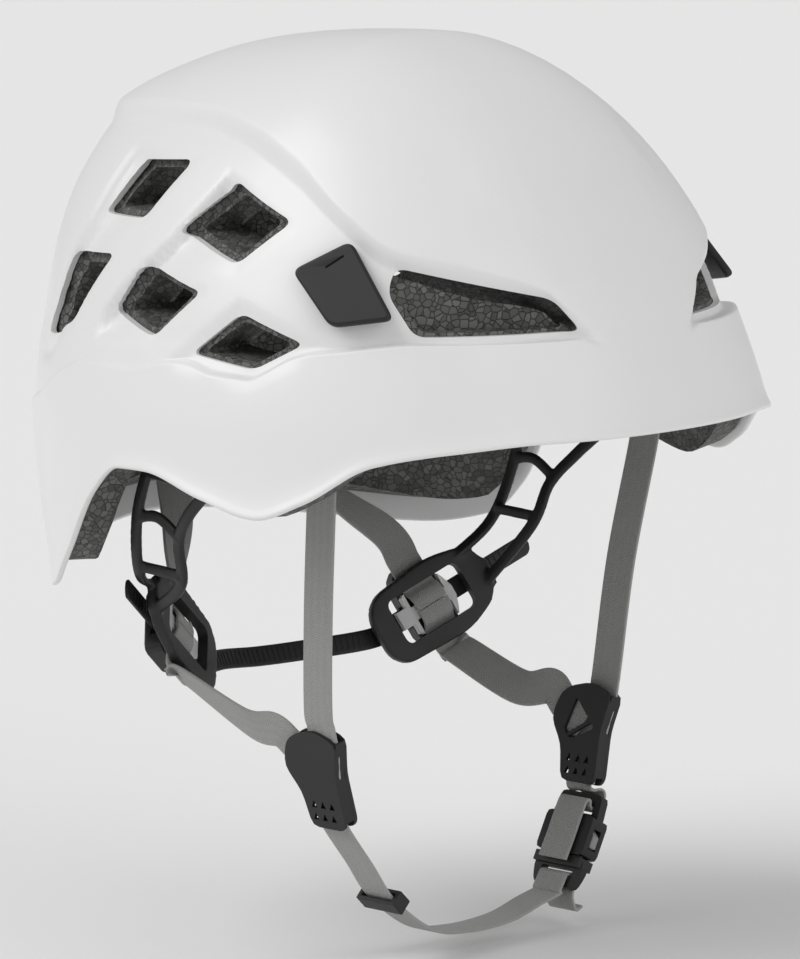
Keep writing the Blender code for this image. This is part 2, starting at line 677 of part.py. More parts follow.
def build_rear_strap(key, mats):
    """Rear webbing in two runs: foam to paddle window, and paddle window to the divider's inner layer."""
    side = SIDES[key]
    frame = paddle_frame(key)
    divider = divider_frame(key)
    upper = mirrored([(17, 106, 6), (25, 88, -16), (37, 70, -44)], side)
    upper += [frame.at(0, v, n) for v, n in ((30, 4.0), (18.5, OVER_RIM + 0.1), (12.5, OVER_RIM), (7.9, OVER_RIM),
                                             (5.2, 0.4), (3, IN_WINDOW), (0.3, IN_WINDOW))]
    ribbon(f"rear_strap_upper_{key}", through(upper, 4), (Vector((side * 0.8, 0.6, 0)), frame.u), WEB_WIDTH,
           WEB_THICK, mats["webbing"], (0.1, 0.4))
    low = [frame.at(0, v, n) for v, n in ((-0.3, IN_WINDOW), (-3, IN_WINDOW), (-5.2, 0.4), (-7.9, OVER_RIM),
                                          (-12.5, OVER_RIM), (-16, OVER_RIM), (-18, 1.6), (-20, -1.8))]
    low += [(frame.at(-0.5, -22, -6) * 0.45 + divider.at(15, 11, -LAYER) * 0.55) + Vector((0, 0, -3.0))]
    low += [divider.at(21, 14.5, -LAYER), divider.at(14, 10, -LAYER), divider.at(8, 6.8, -LAYER),
            divider.at(2, 3.8, -LAYER)]
    ribbon(f"rear_strap_lower_{key}", through(low, 4), (frame.u, divider.v), WEB_WIDTH, WEB_THICK, mats["webbing"],
           (0.5, 0.78))


# ---- chin strap and buckle ----------------------------------------------------------------------------
BUCKLE_CENTRE = (54.6, -35, -161)
BUCKLE_ALONG = (0.47, 0.0, 0.883)          # from the plug up to the socket
BAR_CLEAR = 3.0                            # webbing's mid plane over a buckle bar
LATCHES = (("front", -1), ("rear", 1))
LATCH_ROOT = (5.6, -6.2)                   # u and v of the hinge of the rear latch


def buckle_frame():
    """u across the webbing, v up along it, n out of the loop."""
    frame = Frame(BUCKLE_CENTRE, (0, 1, 0), BUCKLE_ALONG)
    if frame.n.x < 0:
        frame.n.negate()
    return frame


def build_chin_strap(mats):
    """Chin webbing: right divider, under the chin, round the plug's bar, with a short free tail."""
    divider = divider_frame("right")
    frame = buckle_frame()
    route = [divider.at(0, v, 0) for v in (-5.2, -12, -17.5)] + [Vector(p) for p in CHIN_ROUTE]
    route += [frame.at(0, v, n) for v, n in ((-20, -BAR_CLEAR - 0.4), (-16.4, -BAR_CLEAR), (-13.6, -2.6),
                                             (-12.7, -1.0), (-12.7, 1.0), (-13.6, 2.6), (-16.4, BAR_CLEAR),
                                             (-20, 4.2), (-23, 8.0), (-21, 10.4))]
    ribbon("chin_strap", through(route, 3), (0, 1, 0), WEB_WIDTH, WEB_THICK, mats["webbing"])
    divider = divider_frame("left")
    short = [divider.at(0, v, 0) for v in (-5.2, -12, -18.5)]
    short += [frame.at(0, v, n) for v, n in ((18.6, 2.4), (15.4, BAR_CLEAR), (12.9, 2.7), (11.6, 1.0), (11.6, -1.0),
                                             (12.4, -2.6), (14, -3.6), (13, -5.3), (8, -5.6), (0, -5.6), (-9, -5.9))]
    ribbon("chin_strap_short", through(short, 4), (0, 1, 0), WEB_WIDTH, WEB_THICK, mats["webbing"])


def build_buckle(mats):
    """Side-release buckle: socket, plug, and the plug's two squeeze latches."""
    frame = buckle_frame()
    socket = prism("buckle_socket", frame, [rounded([(-11, -6), (11, -6), (11, 8.6), (-11, 8.6)], 2, 2)],
                   -4.2, 4.2, mats["plastic"])
    bar_plate = prism("socket_bar", frame, [rounded([(-11, 4), (11, 4), (9.5, 17), (-9.5, 17)], 2, 2)], -1.8, 1.8)
    combine(socket, [bar_plate], "UNION")
    hollow = block("socket_hollow", frame, -9.2, 9.2, -12, 7.0, -2.4, 2.4)
    ports = block("socket_ports", frame, -14, 14, -2.8, 4.6, -2.0, 2.0)
    slot = block("socket_slot", frame, -7.2, 7.2, 9.6, 13.4, -6, 6)
    combine(socket, [hollow, ports, slot], "DIFFERENCE")
    plug = prism("buckle_plug", frame,
                 [rounded([(-11, -6.6), (-11, -12), (-9, -18), (9, -18), (11, -12), (11, -6.6)], 2, 2),
                  rectangle(-7.2, 7.2, -14.8, -11.2)], -1.8, 1.8, mats["plastic"])
    shoulder = block("plug_shoulder", frame, -10.6, 10.6, -10.4, -6.6, -3.8, 3.8)
    tongue = block("plug_tongue", frame, -2.4, 2.4, -7.5, 5.0, -1.6, 1.6)
    combine(plug, [shoulder, tongue], "UNION")
    for name, way in LATCHES:
        arm = [(4.0, -6.2), (7.2, -6.2), (8.0, -2.4), (11.4, -2.2), (11.4, 2.2), (8.0, 5.2), (5.4, 5.2), (5.0, -1)]
        prism(f"buckle_latch_{name}", frame, [[(u * way, v) for u, v in arm]], -1.6, 1.6, mats["plastic"])


KEEPER_AT = (-40.8, -35, -167.7)


def build_keeper(mats):
    """Sliding keeper: a flat sleeve round the chin strap."""
    half = WEB_THICK / 2
    frame = Frame(KEEPER_AT, (0, 1, 0), (0.69, 0, 0.72))
    ring = [rectangle(-9, 9, -half - 2.4, half + 2.4), rectangle(-7.2, 7.2, -half - 0.8, half + 0.8)]
    prism("strap_keeper", frame, ring, -3.2, 3.2, mats["plastic"])


# ---- anchors ------------------------------------------------------------------------------------------
def build_anchors(mats):
    """Webbing anchors clipped to the foam's inner face."""
    for key, side in SIDES.items():
        front = Frame((side * 78.4, -46.5, 13), (0, 1, 0), (-0.25 * side, 0, 1))
        block(f"strap_anchor_front_{key}", front, -7.5, 7.5, -6, 6, -1.1, 1.1, mats["plastic"])
    rear = Frame((0, 109.5, 14), (1, 0, 0), (0, 0.1, 1))
    block("strap_anchor_rear", rear, -26, 26, -6.5, 6.5, -1.2, 1.2, mats["plastic"])


def place_origins():
    for key in SIDES:
        hang_on((0, *PIVOT), f"cradle_frame_{key}", f"rear_strap_lower_{key}")
        hang_on(paddle_frame(key).origin, f"band_slider_{key}", f"catch_{key}")
        hang_on(divider_frame(key).origin, f"divider_outer_{key}", f"divider_inner_{key}")
    hang_on((0, *PIVOT), "nape_band")
    hang_on(CHIN_SWING, "chin_strap", "chin_strap_short", "buckle_socket")
    hang_on(KEEPER_AT, "strap_keeper")
    hang_on(BUCKLE_CENTRE, "buckle_plug")
    for name, way in LATCHES:
        hang_on(buckle_frame().at(LATCH_ROOT[0] * way, LATCH_ROOT[1]), f"buckle_latch_{name}")


def main():
    for obj in list(bpy.data.objects):
        bpy.data.objects.remove(obj)
    mats = {
        "shell": material("shell", (0.80, 0.80, 0.79), 0.35),
        "foam": material("foam", (0.07, 0.07, 0.07), 0.9),
        "core": material("core", (0.11, 0.11, 0.11), 0.9),
        "pad": material("pad", (0.05, 0.05, 0.055), 0.95),
        "plastic": material("plastic", (0.03, 0.03, 0.03), 0.45),
        "catch": material("catch", (0.75, 0.75, 0.73), 0.4),
        "webbing": material("webbing", (0.22, 0.22, 0.21), 0.8),
    }
    build_shell(mats)
    build_liner(mats)
    build_crown_core(mats)
    build_pads(mats)
    build_anchors(mats)
    for key, side in SIDES.items():
        build_clip(f"front_{key}", CLIPS["front"], side, mats)
        build_paddle(key, mats)
        build_adjuster(key, mats)
        build_front_strap(key, mats)
        build_rear_strap(key, mats)
        build_divider(key, mats)
    build_clip("rear", CLIPS["rear"], SIDES["right"], mats)
    build_band(mats)
    build_chin_strap(mats)
    build_keeper(mats)
    build_buckle(mats)
    place_origins()


main()
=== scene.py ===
# %% [markdown]
# # Climbing helmet
#
# This lesson finishes a climbing helmet whose plain model is already made and packed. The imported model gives
# the frame: where each piece sits and what it moves with. Here the visible surfaces are made: the satin hard
# cap with its vents, the bead foam inside it, the moulded nape cradle, the woven harness and its buckle.
# Lengths are written in millimetres and turned into metres by MM.

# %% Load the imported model
import math

import bmesh
import bpy
import numpy as np
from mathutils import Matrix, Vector

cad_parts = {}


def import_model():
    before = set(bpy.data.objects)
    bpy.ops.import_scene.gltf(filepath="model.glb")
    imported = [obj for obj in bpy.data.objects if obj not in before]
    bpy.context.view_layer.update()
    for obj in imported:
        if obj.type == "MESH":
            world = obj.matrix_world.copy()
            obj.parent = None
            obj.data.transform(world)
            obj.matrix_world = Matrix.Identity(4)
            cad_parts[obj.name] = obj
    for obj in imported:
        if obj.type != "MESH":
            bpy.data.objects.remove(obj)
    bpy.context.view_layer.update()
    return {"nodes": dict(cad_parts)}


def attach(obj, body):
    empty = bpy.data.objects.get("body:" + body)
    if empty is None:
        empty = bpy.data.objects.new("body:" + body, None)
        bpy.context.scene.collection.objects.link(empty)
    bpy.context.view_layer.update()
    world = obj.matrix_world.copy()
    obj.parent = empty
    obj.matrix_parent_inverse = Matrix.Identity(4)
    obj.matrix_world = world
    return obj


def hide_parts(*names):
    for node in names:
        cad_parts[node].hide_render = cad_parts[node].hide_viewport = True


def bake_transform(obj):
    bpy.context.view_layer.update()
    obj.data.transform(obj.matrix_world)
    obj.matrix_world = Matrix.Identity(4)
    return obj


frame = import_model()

MM = 0.001
SIDES = {"right": -1, "left": 1}


# %% [markdown]
# ## Hand tools
#
# An operator works on whatever is selected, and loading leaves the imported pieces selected. So each helper
# first clears the selection and then picks its own object. Finished modifiers are applied, so that what is
# kept is the real mesh.

# %% Selecting, applying and joining
def pick(obj, *others):
    bpy.ops.object.select_all(action="DESELECT")
    for other in others:
        other.select_set(True)
    obj.select_set(True)
    bpy.context.view_layer.objects.active = obj
    return obj


def added(name):
    """The primitive that was added last, under its own name."""
    obj = bpy.context.object
    obj.name = name
    obj.data.name = name
    return obj


def apply_modifiers(obj):
    pick(obj)
    for mod in list(obj.modifiers):
        bpy.ops.object.modifier_apply(modifier=mod.name)
    return obj


def modify(obj, kind, **settings):
    """Add one modifier and apply it at once."""
    mod = obj.modifiers.new(kind.lower(), kind)
    for name, value in settings.items():
        setattr(mod, name, value)
    return apply_modifiers(obj)


def edit(obj, *steps):
    """Run operators on all of an object's mesh in edit mode. A step is an operator and its settings."""
    pick(obj)
    bpy.ops.object.mode_set(mode="EDIT")
    bpy.ops.mesh.select_all(action="SELECT")
    for operator, settings in steps:
        operator(**settings)
    bpy.ops.object.mode_set(mode="OBJECT")
    return obj


def clean(obj, merge=0.01):
    """Close seams and poles, and turn the faces outwards."""
    return edit(obj, (bpy.ops.mesh.remove_doubles, {"threshold": merge * MM}),
                (bpy.ops.mesh.normals_make_consistent, {"inside": False}))


def combine(obj, others, operation="DIFFERENCE"):
    for other in others:
        modify(obj, "BOOLEAN", operation=operation, solver="EXACT", object=other)
        bpy.data.objects.remove(other)
    return obj


def smooth_shade(obj, angle=35):
    pick(obj)
    bpy.ops.object.shade_smooth_by_angle(angle=math.radians(angle))
    return obj


def join(obj, *others):
    pick(obj, *others)
    bpy.ops.object.join()
    return obj


# %% [markdown]
# ## Places with their own axes
#
# Most small parts are plates that sit at a slant. A frame with u and v across the plate and n out of the
# helmet lets their outlines be drawn flat, as on a bench.

# %% Frames, outlines and smooth curves
class Frame:
    def __init__(self, origin, u, v):
        self.origin = Vector(origin)
        self.u = Vector(u).normalized()
        self.n = self.u.cross(Vector(v)).normalized()
        self.v = self.n.cross(self.u)

    def at(self, u, v, n=0.0):
        return self.origin + self.u * u + self.v * v + self.n * n


def rounded(points, radius, steps=6):
    """Outline with its corners replaced by arcs."""
    outline = []
    for i, point in enumerate(points):
        corner = Vector(point)
        before = Vector(points[i - 1]) - corner
        after = Vector(points[(i + 1) % len(points)]) - corner
        reach = min(radius, before.length / 2.01, after.length / 2.01)
        start = corner + before.normalized() * reach
        end = corner + after.normalized() * reach
        for k in range(steps + 1):
            t = k / steps
            outline.append(tuple(start.lerp(corner, t).lerp(corner.lerp(end, t), t)))
    return outline


def rectangle(u0, u1, v0, v1):
    return [(u0, v0), (u1, v0), (u1, v1), (u0, v1)]


def disc(radius, steps=32, centre=(0, 0)):
    turn = 2 * math.pi / steps
    angles = [i * turn for i in range(steps)]
    return [(centre[0] + radius * math.cos(a), centre[1] + radius * math.sin(a)) for a in angles]


def through(points, steps):
    """Smooth curve through the points, with a number of steps on each span."""
    pts = [Vector(p) for p in points]
    pts = [2 * pts[0] - pts[1]] + pts + [2 * pts[-1] - pts[-2]]
    curve = []
    for i in range(1, len(pts) - 2):
        p0, p1, p2, p3 = pts[i - 1:i + 3]
        for k in range(steps):
            t = k / steps
            curve.append(0.5 * (2 * p1 + (p2 - p0) * t + (2 * p0 - 5 * p1 + 4 * p2 - p3) * t * t
                                + (3 * p1 - p0 - 3 * p2 + p3) * t ** 3))
    curve.append(pts[-2])
    return curve


def smoothstep(t):
    t = np.clip(t, 0.0, 1.0)
    return t * t * (3 - 2 * t)


def plate(name, place, outline, n0, n1, end_scale=1.0):
    """Plate from an outline: a filled circle's points are put on the outline, and the face is extruded."""
    bpy.ops.object.select_all(action="DESELECT")
    bpy.ops.mesh.primitive_circle_add(vertices=len(outline), radius=MM, fill_type="NGON", location=(0, 0, 0))
    obj = added(name)
    for vert, (u, v) in zip(obj.data.vertices, outline):
        vert.co = place.at(u, v, n0) * MM
    centre = place.at(0, 0, n1) * MM
    rise = place.n * (n1 - n0) * MM
    edit(obj, (bpy.ops.mesh.extrude_region_move, {"TRANSFORM_OT_translate": {"value": rise}}))
    if end_scale != 1.0:
        for vert in obj.data.vertices[len(outline):]:
            vert.co = centre + (vert.co - centre) * end_scale
    return edit(obj, (bpy.ops.mesh.normals_make_consistent, {"inside": False}))


def soften(obj, width, segments=3, angle=35):
    """Round the edges of a moulded part, as its mould does."""
    modify(obj, "BEVEL", width=width * MM, segments=segments, limit_method="ANGLE",
           angle_limit=math.radians(angle), harden_normals=False, use_clamp_overlap=True)
    return even_normals(obj)


def even_normals(obj):
    """Smooth shading in which large flat faces stay flat."""
    smooth_shade(obj, 40)
    return modify(obj, "WEIGHTED_NORMAL", keep_sharp=True)


def packed_copy(node, name):
    """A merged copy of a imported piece's mesh, with its flat faces made whole again."""
    source = frame["nodes"][node]
    obj = bpy.data.objects.new(name, source.data.copy())
    bpy.context.scene.collection.objects.link(obj)
    obj.data.materials.clear()
    return edit(obj, (bpy.ops.mesh.remove_doubles, {"threshold": 0.002 * MM}),
                (bpy.ops.mesh.dissolve_limited, {"angle_limit": math.radians(0.5)}))


# %% [markdown]
# ## Node groups shared by the finishes
#
# Three effects come back in several finishes, so each is built once as a node group: a fine moulded grain,
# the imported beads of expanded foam, and the twill of webbing. A group only gives out masks, colours and
# heights; the shader itself stays in each material.

# %% Building groups
def new_group(name, inputs, outputs):
    tree = bpy.data.node_groups.new(name, "ShaderNodeTree")
    for label, kind, value in inputs:
        socket = tree.interface.new_socket(name=label, in_out="INPUT", socket_type=kind)
        if value is not None:
            socket.default_value = value
    for label, kind in outputs:
        tree.interface.new_socket(name=label, in_out="OUTPUT", socket_type=kind)
    return tree, tree.nodes.new("NodeGroupInput"), tree.nodes.new("NodeGroupOutput")


def node(tree, kind, settings=None, **inputs):
    """Add a node; a value that is a socket is linked, any other is set.

    An input is given by its name, with underscores for spaces, or by its number, as i0.
    """
    made = tree.nodes.new(kind)
    for key, value in (settings or {}).items():
        setattr(made, key, value)
    for key, value in inputs.items():
        numbered = key[0] == "i" and key[1:].isdigit()
        socket = made.inputs[int(key[1:]) if numbered else key.replace("_", " ")]
        if isinstance(value, bpy.types.NodeSocket):
            tree.links.new(value, socket)
        else:
            socket.default_value = value
    return made


def math_node(tree, operation, a, b=None):
    made = node(tree, "ShaderNodeMath", {"operation": operation}, i0=a)
    if b is not None:
        if isinstance(b, bpy.types.NodeSocket):
            tree.links.new(b, made.inputs[1])
        else:
            made.inputs[1].default_value = b
    return made.outputs[0]


FLOAT, VECTOR = "NodeSocketFloat", "NodeSocketVector"


# %% Moulded grain
def grain_group():
    tree, given, out = new_group("moulded grain", [("Vector", VECTOR, None), ("Size", FLOAT, 1.0)],
                                 [("Height", FLOAT), ("Mottle", FLOAT)])
    scale = math_node(tree, "DIVIDE", 1000.0, given.outputs["Size"])
    place = given.outputs["Vector"]
    fine = node(tree, "ShaderNodeTexNoise", Vector=place, Scale=scale, Detail=3.0, Roughness=0.6)
    broad = node(tree, "ShaderNodeTexNoise", Vector=place, Scale=38.0, Detail=3.0, Roughness=0.55)
    tree.links.new(fine.outputs["Fac"], out.inputs["Height"])
    tree.links.new(broad.outputs["Fac"], out.inputs["Mottle"])
    return tree


GRAIN = grain_group()


# %% Packed beads
def bead_group():
    tree, given, out = new_group("packed beads", [("Vector", VECTOR, None), ("Bead", FLOAT, 2.4)],
                                 [("Height", FLOAT), ("Shade", FLOAT), ("Seam", FLOAT)])
    wobble = node(tree, "ShaderNodeTexNoise", Vector=given.outputs["Vector"], Scale=300.0, Detail=2.0)
    shift = node(tree, "ShaderNodeVectorMath", {"operation": "SCALE"}, i0=wobble.outputs["Color"])
    shift.inputs["Scale"].default_value = 0.0009
    place = node(tree, "ShaderNodeVectorMath", {"operation": "ADD"}, i0=given.outputs["Vector"],
                 i1=shift.outputs[0])
    scale = math_node(tree, "DIVIDE", 1000.0, given.outputs["Bead"])
    cells = node(tree, "ShaderNodeTexVoronoi", {"feature": "F1"}, Vector=place.outputs[0], Scale=scale)
    edges = node(tree, "ShaderNodeTexVoronoi", {"feature": "DISTANCE_TO_EDGE"}, Vector=place.outputs[0],
                 Scale=scale)
    skin = node(tree, "ShaderNodeTexNoise", Vector=given.outputs["Vector"], Scale=1900.0, Detail=2.0)
    shade = node(tree, "ShaderNodeSeparateColor", Color=cells.outputs["Color"])
    seam = node(tree, "ShaderNodeMapRange", i0=edges.outputs["Distance"], i1=0.0, i2=0.085, i3=0.0, i4=1.0)
    dimple = math_node(tree, "MULTIPLY", skin.outputs["Fac"], 0.16)
    height = math_node(tree, "ADD", seam.outputs[0], dimple)
    tree.links.new(height, out.inputs["Height"])
    tree.links.new(shade.outputs[0], out.inputs["Shade"])
    tree.links.new(seam.outputs[0], out.inputs["Seam"])
    return tree


BEADS = bead_group()


# %% [markdown]
# Webbing is woven, so its pattern follows the strap. Each strap carries a UV map in real metres: u across and
# v along it. A ping-pong of u bends straight ribs into the zigzag of a twill, and the outermost threads of
# each edge form a plain selvedge.

# %% Twill
def twill_group():
    tree, given, out = new_group("twill", [("UV", VECTOR, None), ("Half Width", FLOAT, 6.5)],
                                 [("Height", FLOAT), ("Shade", FLOAT), ("Selvedge", FLOAT)])
    parts = node(tree, "ShaderNodeSeparateXYZ", i0=given.outputs["UV"])
    u = math_node(tree, "MULTIPLY", parts.outputs[0], 1000.0)
    v = math_node(tree, "MULTIPLY", parts.outputs[1], 1000.0)
    zigzag = math_node(tree, "PINGPONG", u, 1.63)
    slant = math_node(tree, "ADD", math_node(tree, "MULTIPLY", v, 1.15), zigzag)
    ribs = math_node(tree, "SINE", math_node(tree, "MULTIPLY", slant, 2 * math.pi))
    threads = math_node(tree, "SINE", math_node(tree, "MULTIPLY", u, 2 * math.pi / 0.54))
    height = math_node(tree, "ADD", math_node(tree, "MULTIPLY", ribs, 0.5),
                       math_node(tree, "MULTIPLY", threads, 0.28))
    fuzz = node(tree, "ShaderNodeTexNoise", Vector=given.outputs["UV"], Scale=1600.0, Detail=2.0)
    height = math_node(tree, "ADD", height, math_node(tree, "MULTIPLY", fuzz.outputs["Fac"], 0.5))
    # Shade follows the weave's height: low threads are painted darker and raised threads lighter, as painted
    # shade and light.
    shade = node(tree, "ShaderNodeMapRange", i0=height, i1=-0.7, i2=1.2, i3=0.0, i4=1.0)
    rim = math_node(tree, "SUBTRACT", given.outputs["Half Width"], math_node(tree, "ABSOLUTE", u))
    selvedge = node(tree, "ShaderNodeMapRange", i0=rim, i1=0.5, i2=1.1, i3=1.0, i4=0.0)
    tree.links.new(height, out.inputs["Height"])
    tree.links.new(shade.outputs[0], out.inputs["Shade"])
    tree.links.new(selvedge.outputs[0], out.inputs["Selvedge"])
    return tree


TWILL = twill_group()


# %% [markdown]
# ## Finishes
#
# Each finish is a Principled shader with plain constants for what is the same all over, and nodes only for
# what changes over the surface: mottled roughness, the small relief of the grain, the colour of each bead.

# %% Material helpers
def new_material(name, roughness, **constants):
    mat = bpy.data.materials.new(name)
    mat.use_nodes = True
    tree = mat.node_tree
    shader = tree.nodes["Principled BSDF"]
    shader.inputs["Roughness"].default_value = roughness
    for key, value in constants.items():
        shader.inputs[key.replace("_", " ")].default_value = value
    return mat, tree, shader


def object_place(tree):
    return tree.nodes.new("ShaderNodeTexCoord").outputs["Object"]


def use_group(tree, group, **inputs):
    made = node(tree, "ShaderNodeGroup", {"node_tree": group})
    for key, value in inputs.items():
        socket = made.inputs[key.replace("_", " ")]
        if isinstance(value, bpy.types.NodeSocket):
            tree.links.new(value, socket)
        else:
            socket.default_value = value
    return made


def relief(tree, shader, height, strength, depth):
    """Small relief; depth is in millimetres."""
    bump = node(tree, "ShaderNodeBump", Height=height, Strength=strength, Distance=depth * MM)
    tree.links.new(bump.outputs[0], shader.inputs["Normal"])


def blend_colour(tree, factor, first, second):
    mix = node(tree, "ShaderNodeMix", {"data_type": "RGBA"})
    tree.links.new(factor, mix.inputs[0])
    for socket, value in ((mix.inputs[6], first), (mix.inputs[7], second)):
        if isinstance(value, bpy.types.NodeSocket):
            tree.links.new(value, socket)
        else:
            socket.default_value = (*value, 1)
    return mix.outputs[2]


def vary(tree, factor, low, high, target):
    spread = node(tree, "ShaderNodeMapRange", i0=factor, i1=0.3, i2=0.7, i3=low, i4=high)
    tree.links.new(spread.outputs[0], target)


# %% Moulded plastics
def moulded(name, colour, second, rough, grain_mm, bump, depth, **constants):
    """A moulded plastic: two near colours mottled, a fine grain and a little spread in its gloss."""
    mat, tree, shader = new_material(name, rough[0], **constants)
    grain = use_group(tree, GRAIN, Vector=object_place(tree), Size=grain_mm)
    tree.links.new(blend_colour(tree, grain.outputs["Mottle"], colour, second), shader.inputs["Base Color"])
    vary(tree, grain.outputs["Mottle"], rough[0], rough[1], shader.inputs["Roughness"])
    relief(tree, shader, grain.outputs["Height"], bump, depth)
    return mat


CAP_WHITE = moulded("cap satin white", (0.80, 0.805, 0.80), (0.775, 0.78, 0.775), (0.30, 0.40), 0.9, 0.12,
                    0.05, Coat_Weight=0.15, Coat_Roughness=0.35, Specular_IOR_Level=0.5)
NYLON = moulded("black nylon", (0.013, 0.013, 0.0135), (0.019, 0.019, 0.0195), (0.42, 0.55), 0.35, 0.35, 0.05,
                Specular_IOR_Level=0.4)
LEVER_BLACK = moulded("lever black", (0.012, 0.012, 0.0125), (0.017, 0.017, 0.0175), (0.4, 0.5), 0.3, 0.25,
                      0.04, Specular_IOR_Level=0.35)
GREY_LATCH = moulded("latch grey", (0.22, 0.22, 0.22), (0.26, 0.26, 0.26), (0.4, 0.5), 0.35, 0.3, 0.05)
MILKY = moulded("milky catch", (0.74, 0.75, 0.74), (0.68, 0.69, 0.68), (0.28, 0.4), 0.6, 0.15, 0.04,
                Transmission_Weight=0.25, IOR=1.46)


# %% Foams, webbing and padding
def beads(name, dark, light, bead_mm, rough):
    mat, tree, shader = new_material(name, rough)
    found = use_group(tree, BEADS, Vector=object_place(tree), Bead=bead_mm)
    cell = blend_colour(tree, found.outputs["Shade"], dark, light)
    # The seams between beads are painted darker than the beads: painted shade in the crevices, added on top of
    # their relief.
    painted_seam_shade = blend_colour(tree, found.outputs["Seam"], tuple(0.42 * c for c in dark), cell)
    tree.links.new(painted_seam_shade, shader.inputs["Base Color"])
    relief(tree, shader, found.outputs["Height"], 0.75, 0.35)
    return mat


BEAD_FOAM = beads("charcoal bead foam", (0.062, 0.062, 0.059), (0.155, 0.155, 0.148), 2.4, 0.62)
CORE_FOAM = beads("crown foam", (0.055, 0.055, 0.052), (0.12, 0.12, 0.115), 2.1, 0.75)


def webbing_material(name, light, dark, edge):
    mat, tree, shader = new_material(name, 0.82, Sheen_Weight=0.35, Sheen_Roughness=0.5)
    uv = tree.nodes.new("ShaderNodeUVMap")
    uv.uv_map = "UVMap"
    twill = use_group(tree, TWILL, UV=uv.outputs[0], Half_Width=6.5)
    # Low threads of the weave are painted dark and raised ones light, as painted shade and light; the selvedge
    # colour is the tape's own.
    body = blend_colour(tree, twill.outputs["Shade"], dark, light)
    tree.links.new(blend_colour(tree, twill.outputs["Selvedge"], body, edge), shader.inputs["Base Color"])
    relief(tree, shader, twill.outputs["Height"], 0.7, 0.22)
    return mat


WEBBING = webbing_material("grey webbing", (0.42, 0.42, 0.41), (0.20, 0.20, 0.195), (0.32, 0.32, 0.31))


def padding_material():
    mat, tree, shader = new_material("black knit", 0.9, Sheen_Weight=0.5, Sheen_Roughness=0.45)
    place = object_place(tree)
    loops = node(tree, "ShaderNodeTexVoronoi", {"feature": "SMOOTH_F1"}, Vector=place, Scale=1100.0)
    soft = use_group(tree, GRAIN, Vector=place, Size=1.6)
    # The knit is painted lighter at the middle of each loop and darker between the loops, as painted shade; the
    # same pattern gives its relief.
    tree.links.new(blend_colour(tree, loops.outputs["Distance"], (0.03, 0.03, 0.033), (0.008, 0.008, 0.009)),
                   shader.inputs["Base Color"])
    vary(tree, soft.outputs["Mottle"], 0.82, 0.96, shader.inputs["Roughness"])
    relief(tree, shader, loops.outputs["Distance"], 0.5, 0.25)
    return mat


KNIT = padding_material()


def finish(obj, mat, slot, body=None, *nodes):
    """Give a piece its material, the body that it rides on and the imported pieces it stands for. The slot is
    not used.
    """
    obj.data.materials.clear()
    obj.data.materials.append(mat)
    if body:
        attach(obj, body)
    if nodes:
        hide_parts(*nodes)
    return obj


# %% [markdown]
# ## The form of the cap
#
# The cap is a dome whose horizontal section is a soft rectangle, shorter in front than behind. Every point of
# it follows from an angle round the head and a height. The lines below, given as (angle from the front,
# height), draw the rim, the belt round the brow and the edge of the raised crown on that dome. The same on
# both sides, so only one side is given.

# %% Dimensions of the cap
CROWN_Z = 127.0
CENTRE_Y = -11.0
WALL = 2.2
FOAM_DEPTH = 3.2
RIM_LINE = ((0, 0), (25, 0), (41, -2.5), (53, -7), (64, -20), (72, -26), (83, -21.5), (97, -15), (104, -15.5),
            (110, -26), (115, -47), (121, -60), (131, -63.5), (150, -60), (165, -56), (180, -54))
BELT_LINE = ((0, 31), (12, 31), (16, 33.5), (45, 33.5), (58, 31), (68, 28), (77, 20), (84, 20), (92, 23),
             (108, 18), (118, 18), (128, 13), (141, 0), (155, -5), (180, -6))
CAP_FOOT_LINE = ((0, 35), (15, 36), (21, 45), (36, 51), (52, 58), (60, 67), (76, 83), (97, 94), (117, 98),
                 (138, 97), (165, 92), (180, 91))
CAP_TOP_LINE = ((0, 39), (15, 40), (22, 49), (36, 57), (50, 62.5), (60, 73), (78, 92), (98, 100), (118, 103.5),
                (140, 103), (165, 99), (180, 98))
BELT_LEDGE = ((0, 0), (11, 0), (18, 4.5), (55, 4.5), (68, 2.5), (80, 1.5), (108, 0.8), (125, 1.5), (180, 1.5))
CAP_LEDGE = ((0, 0), (12, 0), (22, 3.2), (60, 3.6), (120, 4), (180, 4))
VENTS = {
    "upper_rear": ((136.5, 63.6), (133, 83), (112.8, 86), (118, 65.5)),
    "upper_mid": ((105, 62.6), (94, 81), (74.5, 69.8), (85.3, 54.7)),
    "lower_rear": ((141, 49.6), (123.5, 52.7), (131.8, 27.3), (144.5, 19)),
    "lower_mid": ((111.8, 51), (92.6, 45), (102.3, 28.5), (118.3, 33.7)),
    "diamond": ((91.5, 24.8), (81.5, 39.5), (67.5, 31), (76.8, 21.6)),
    "front": ((49.5, 56.6), (20.3, 45.5), (15.3, 34.6), (45.7, 34.2), (50.8, 48.3)),
}


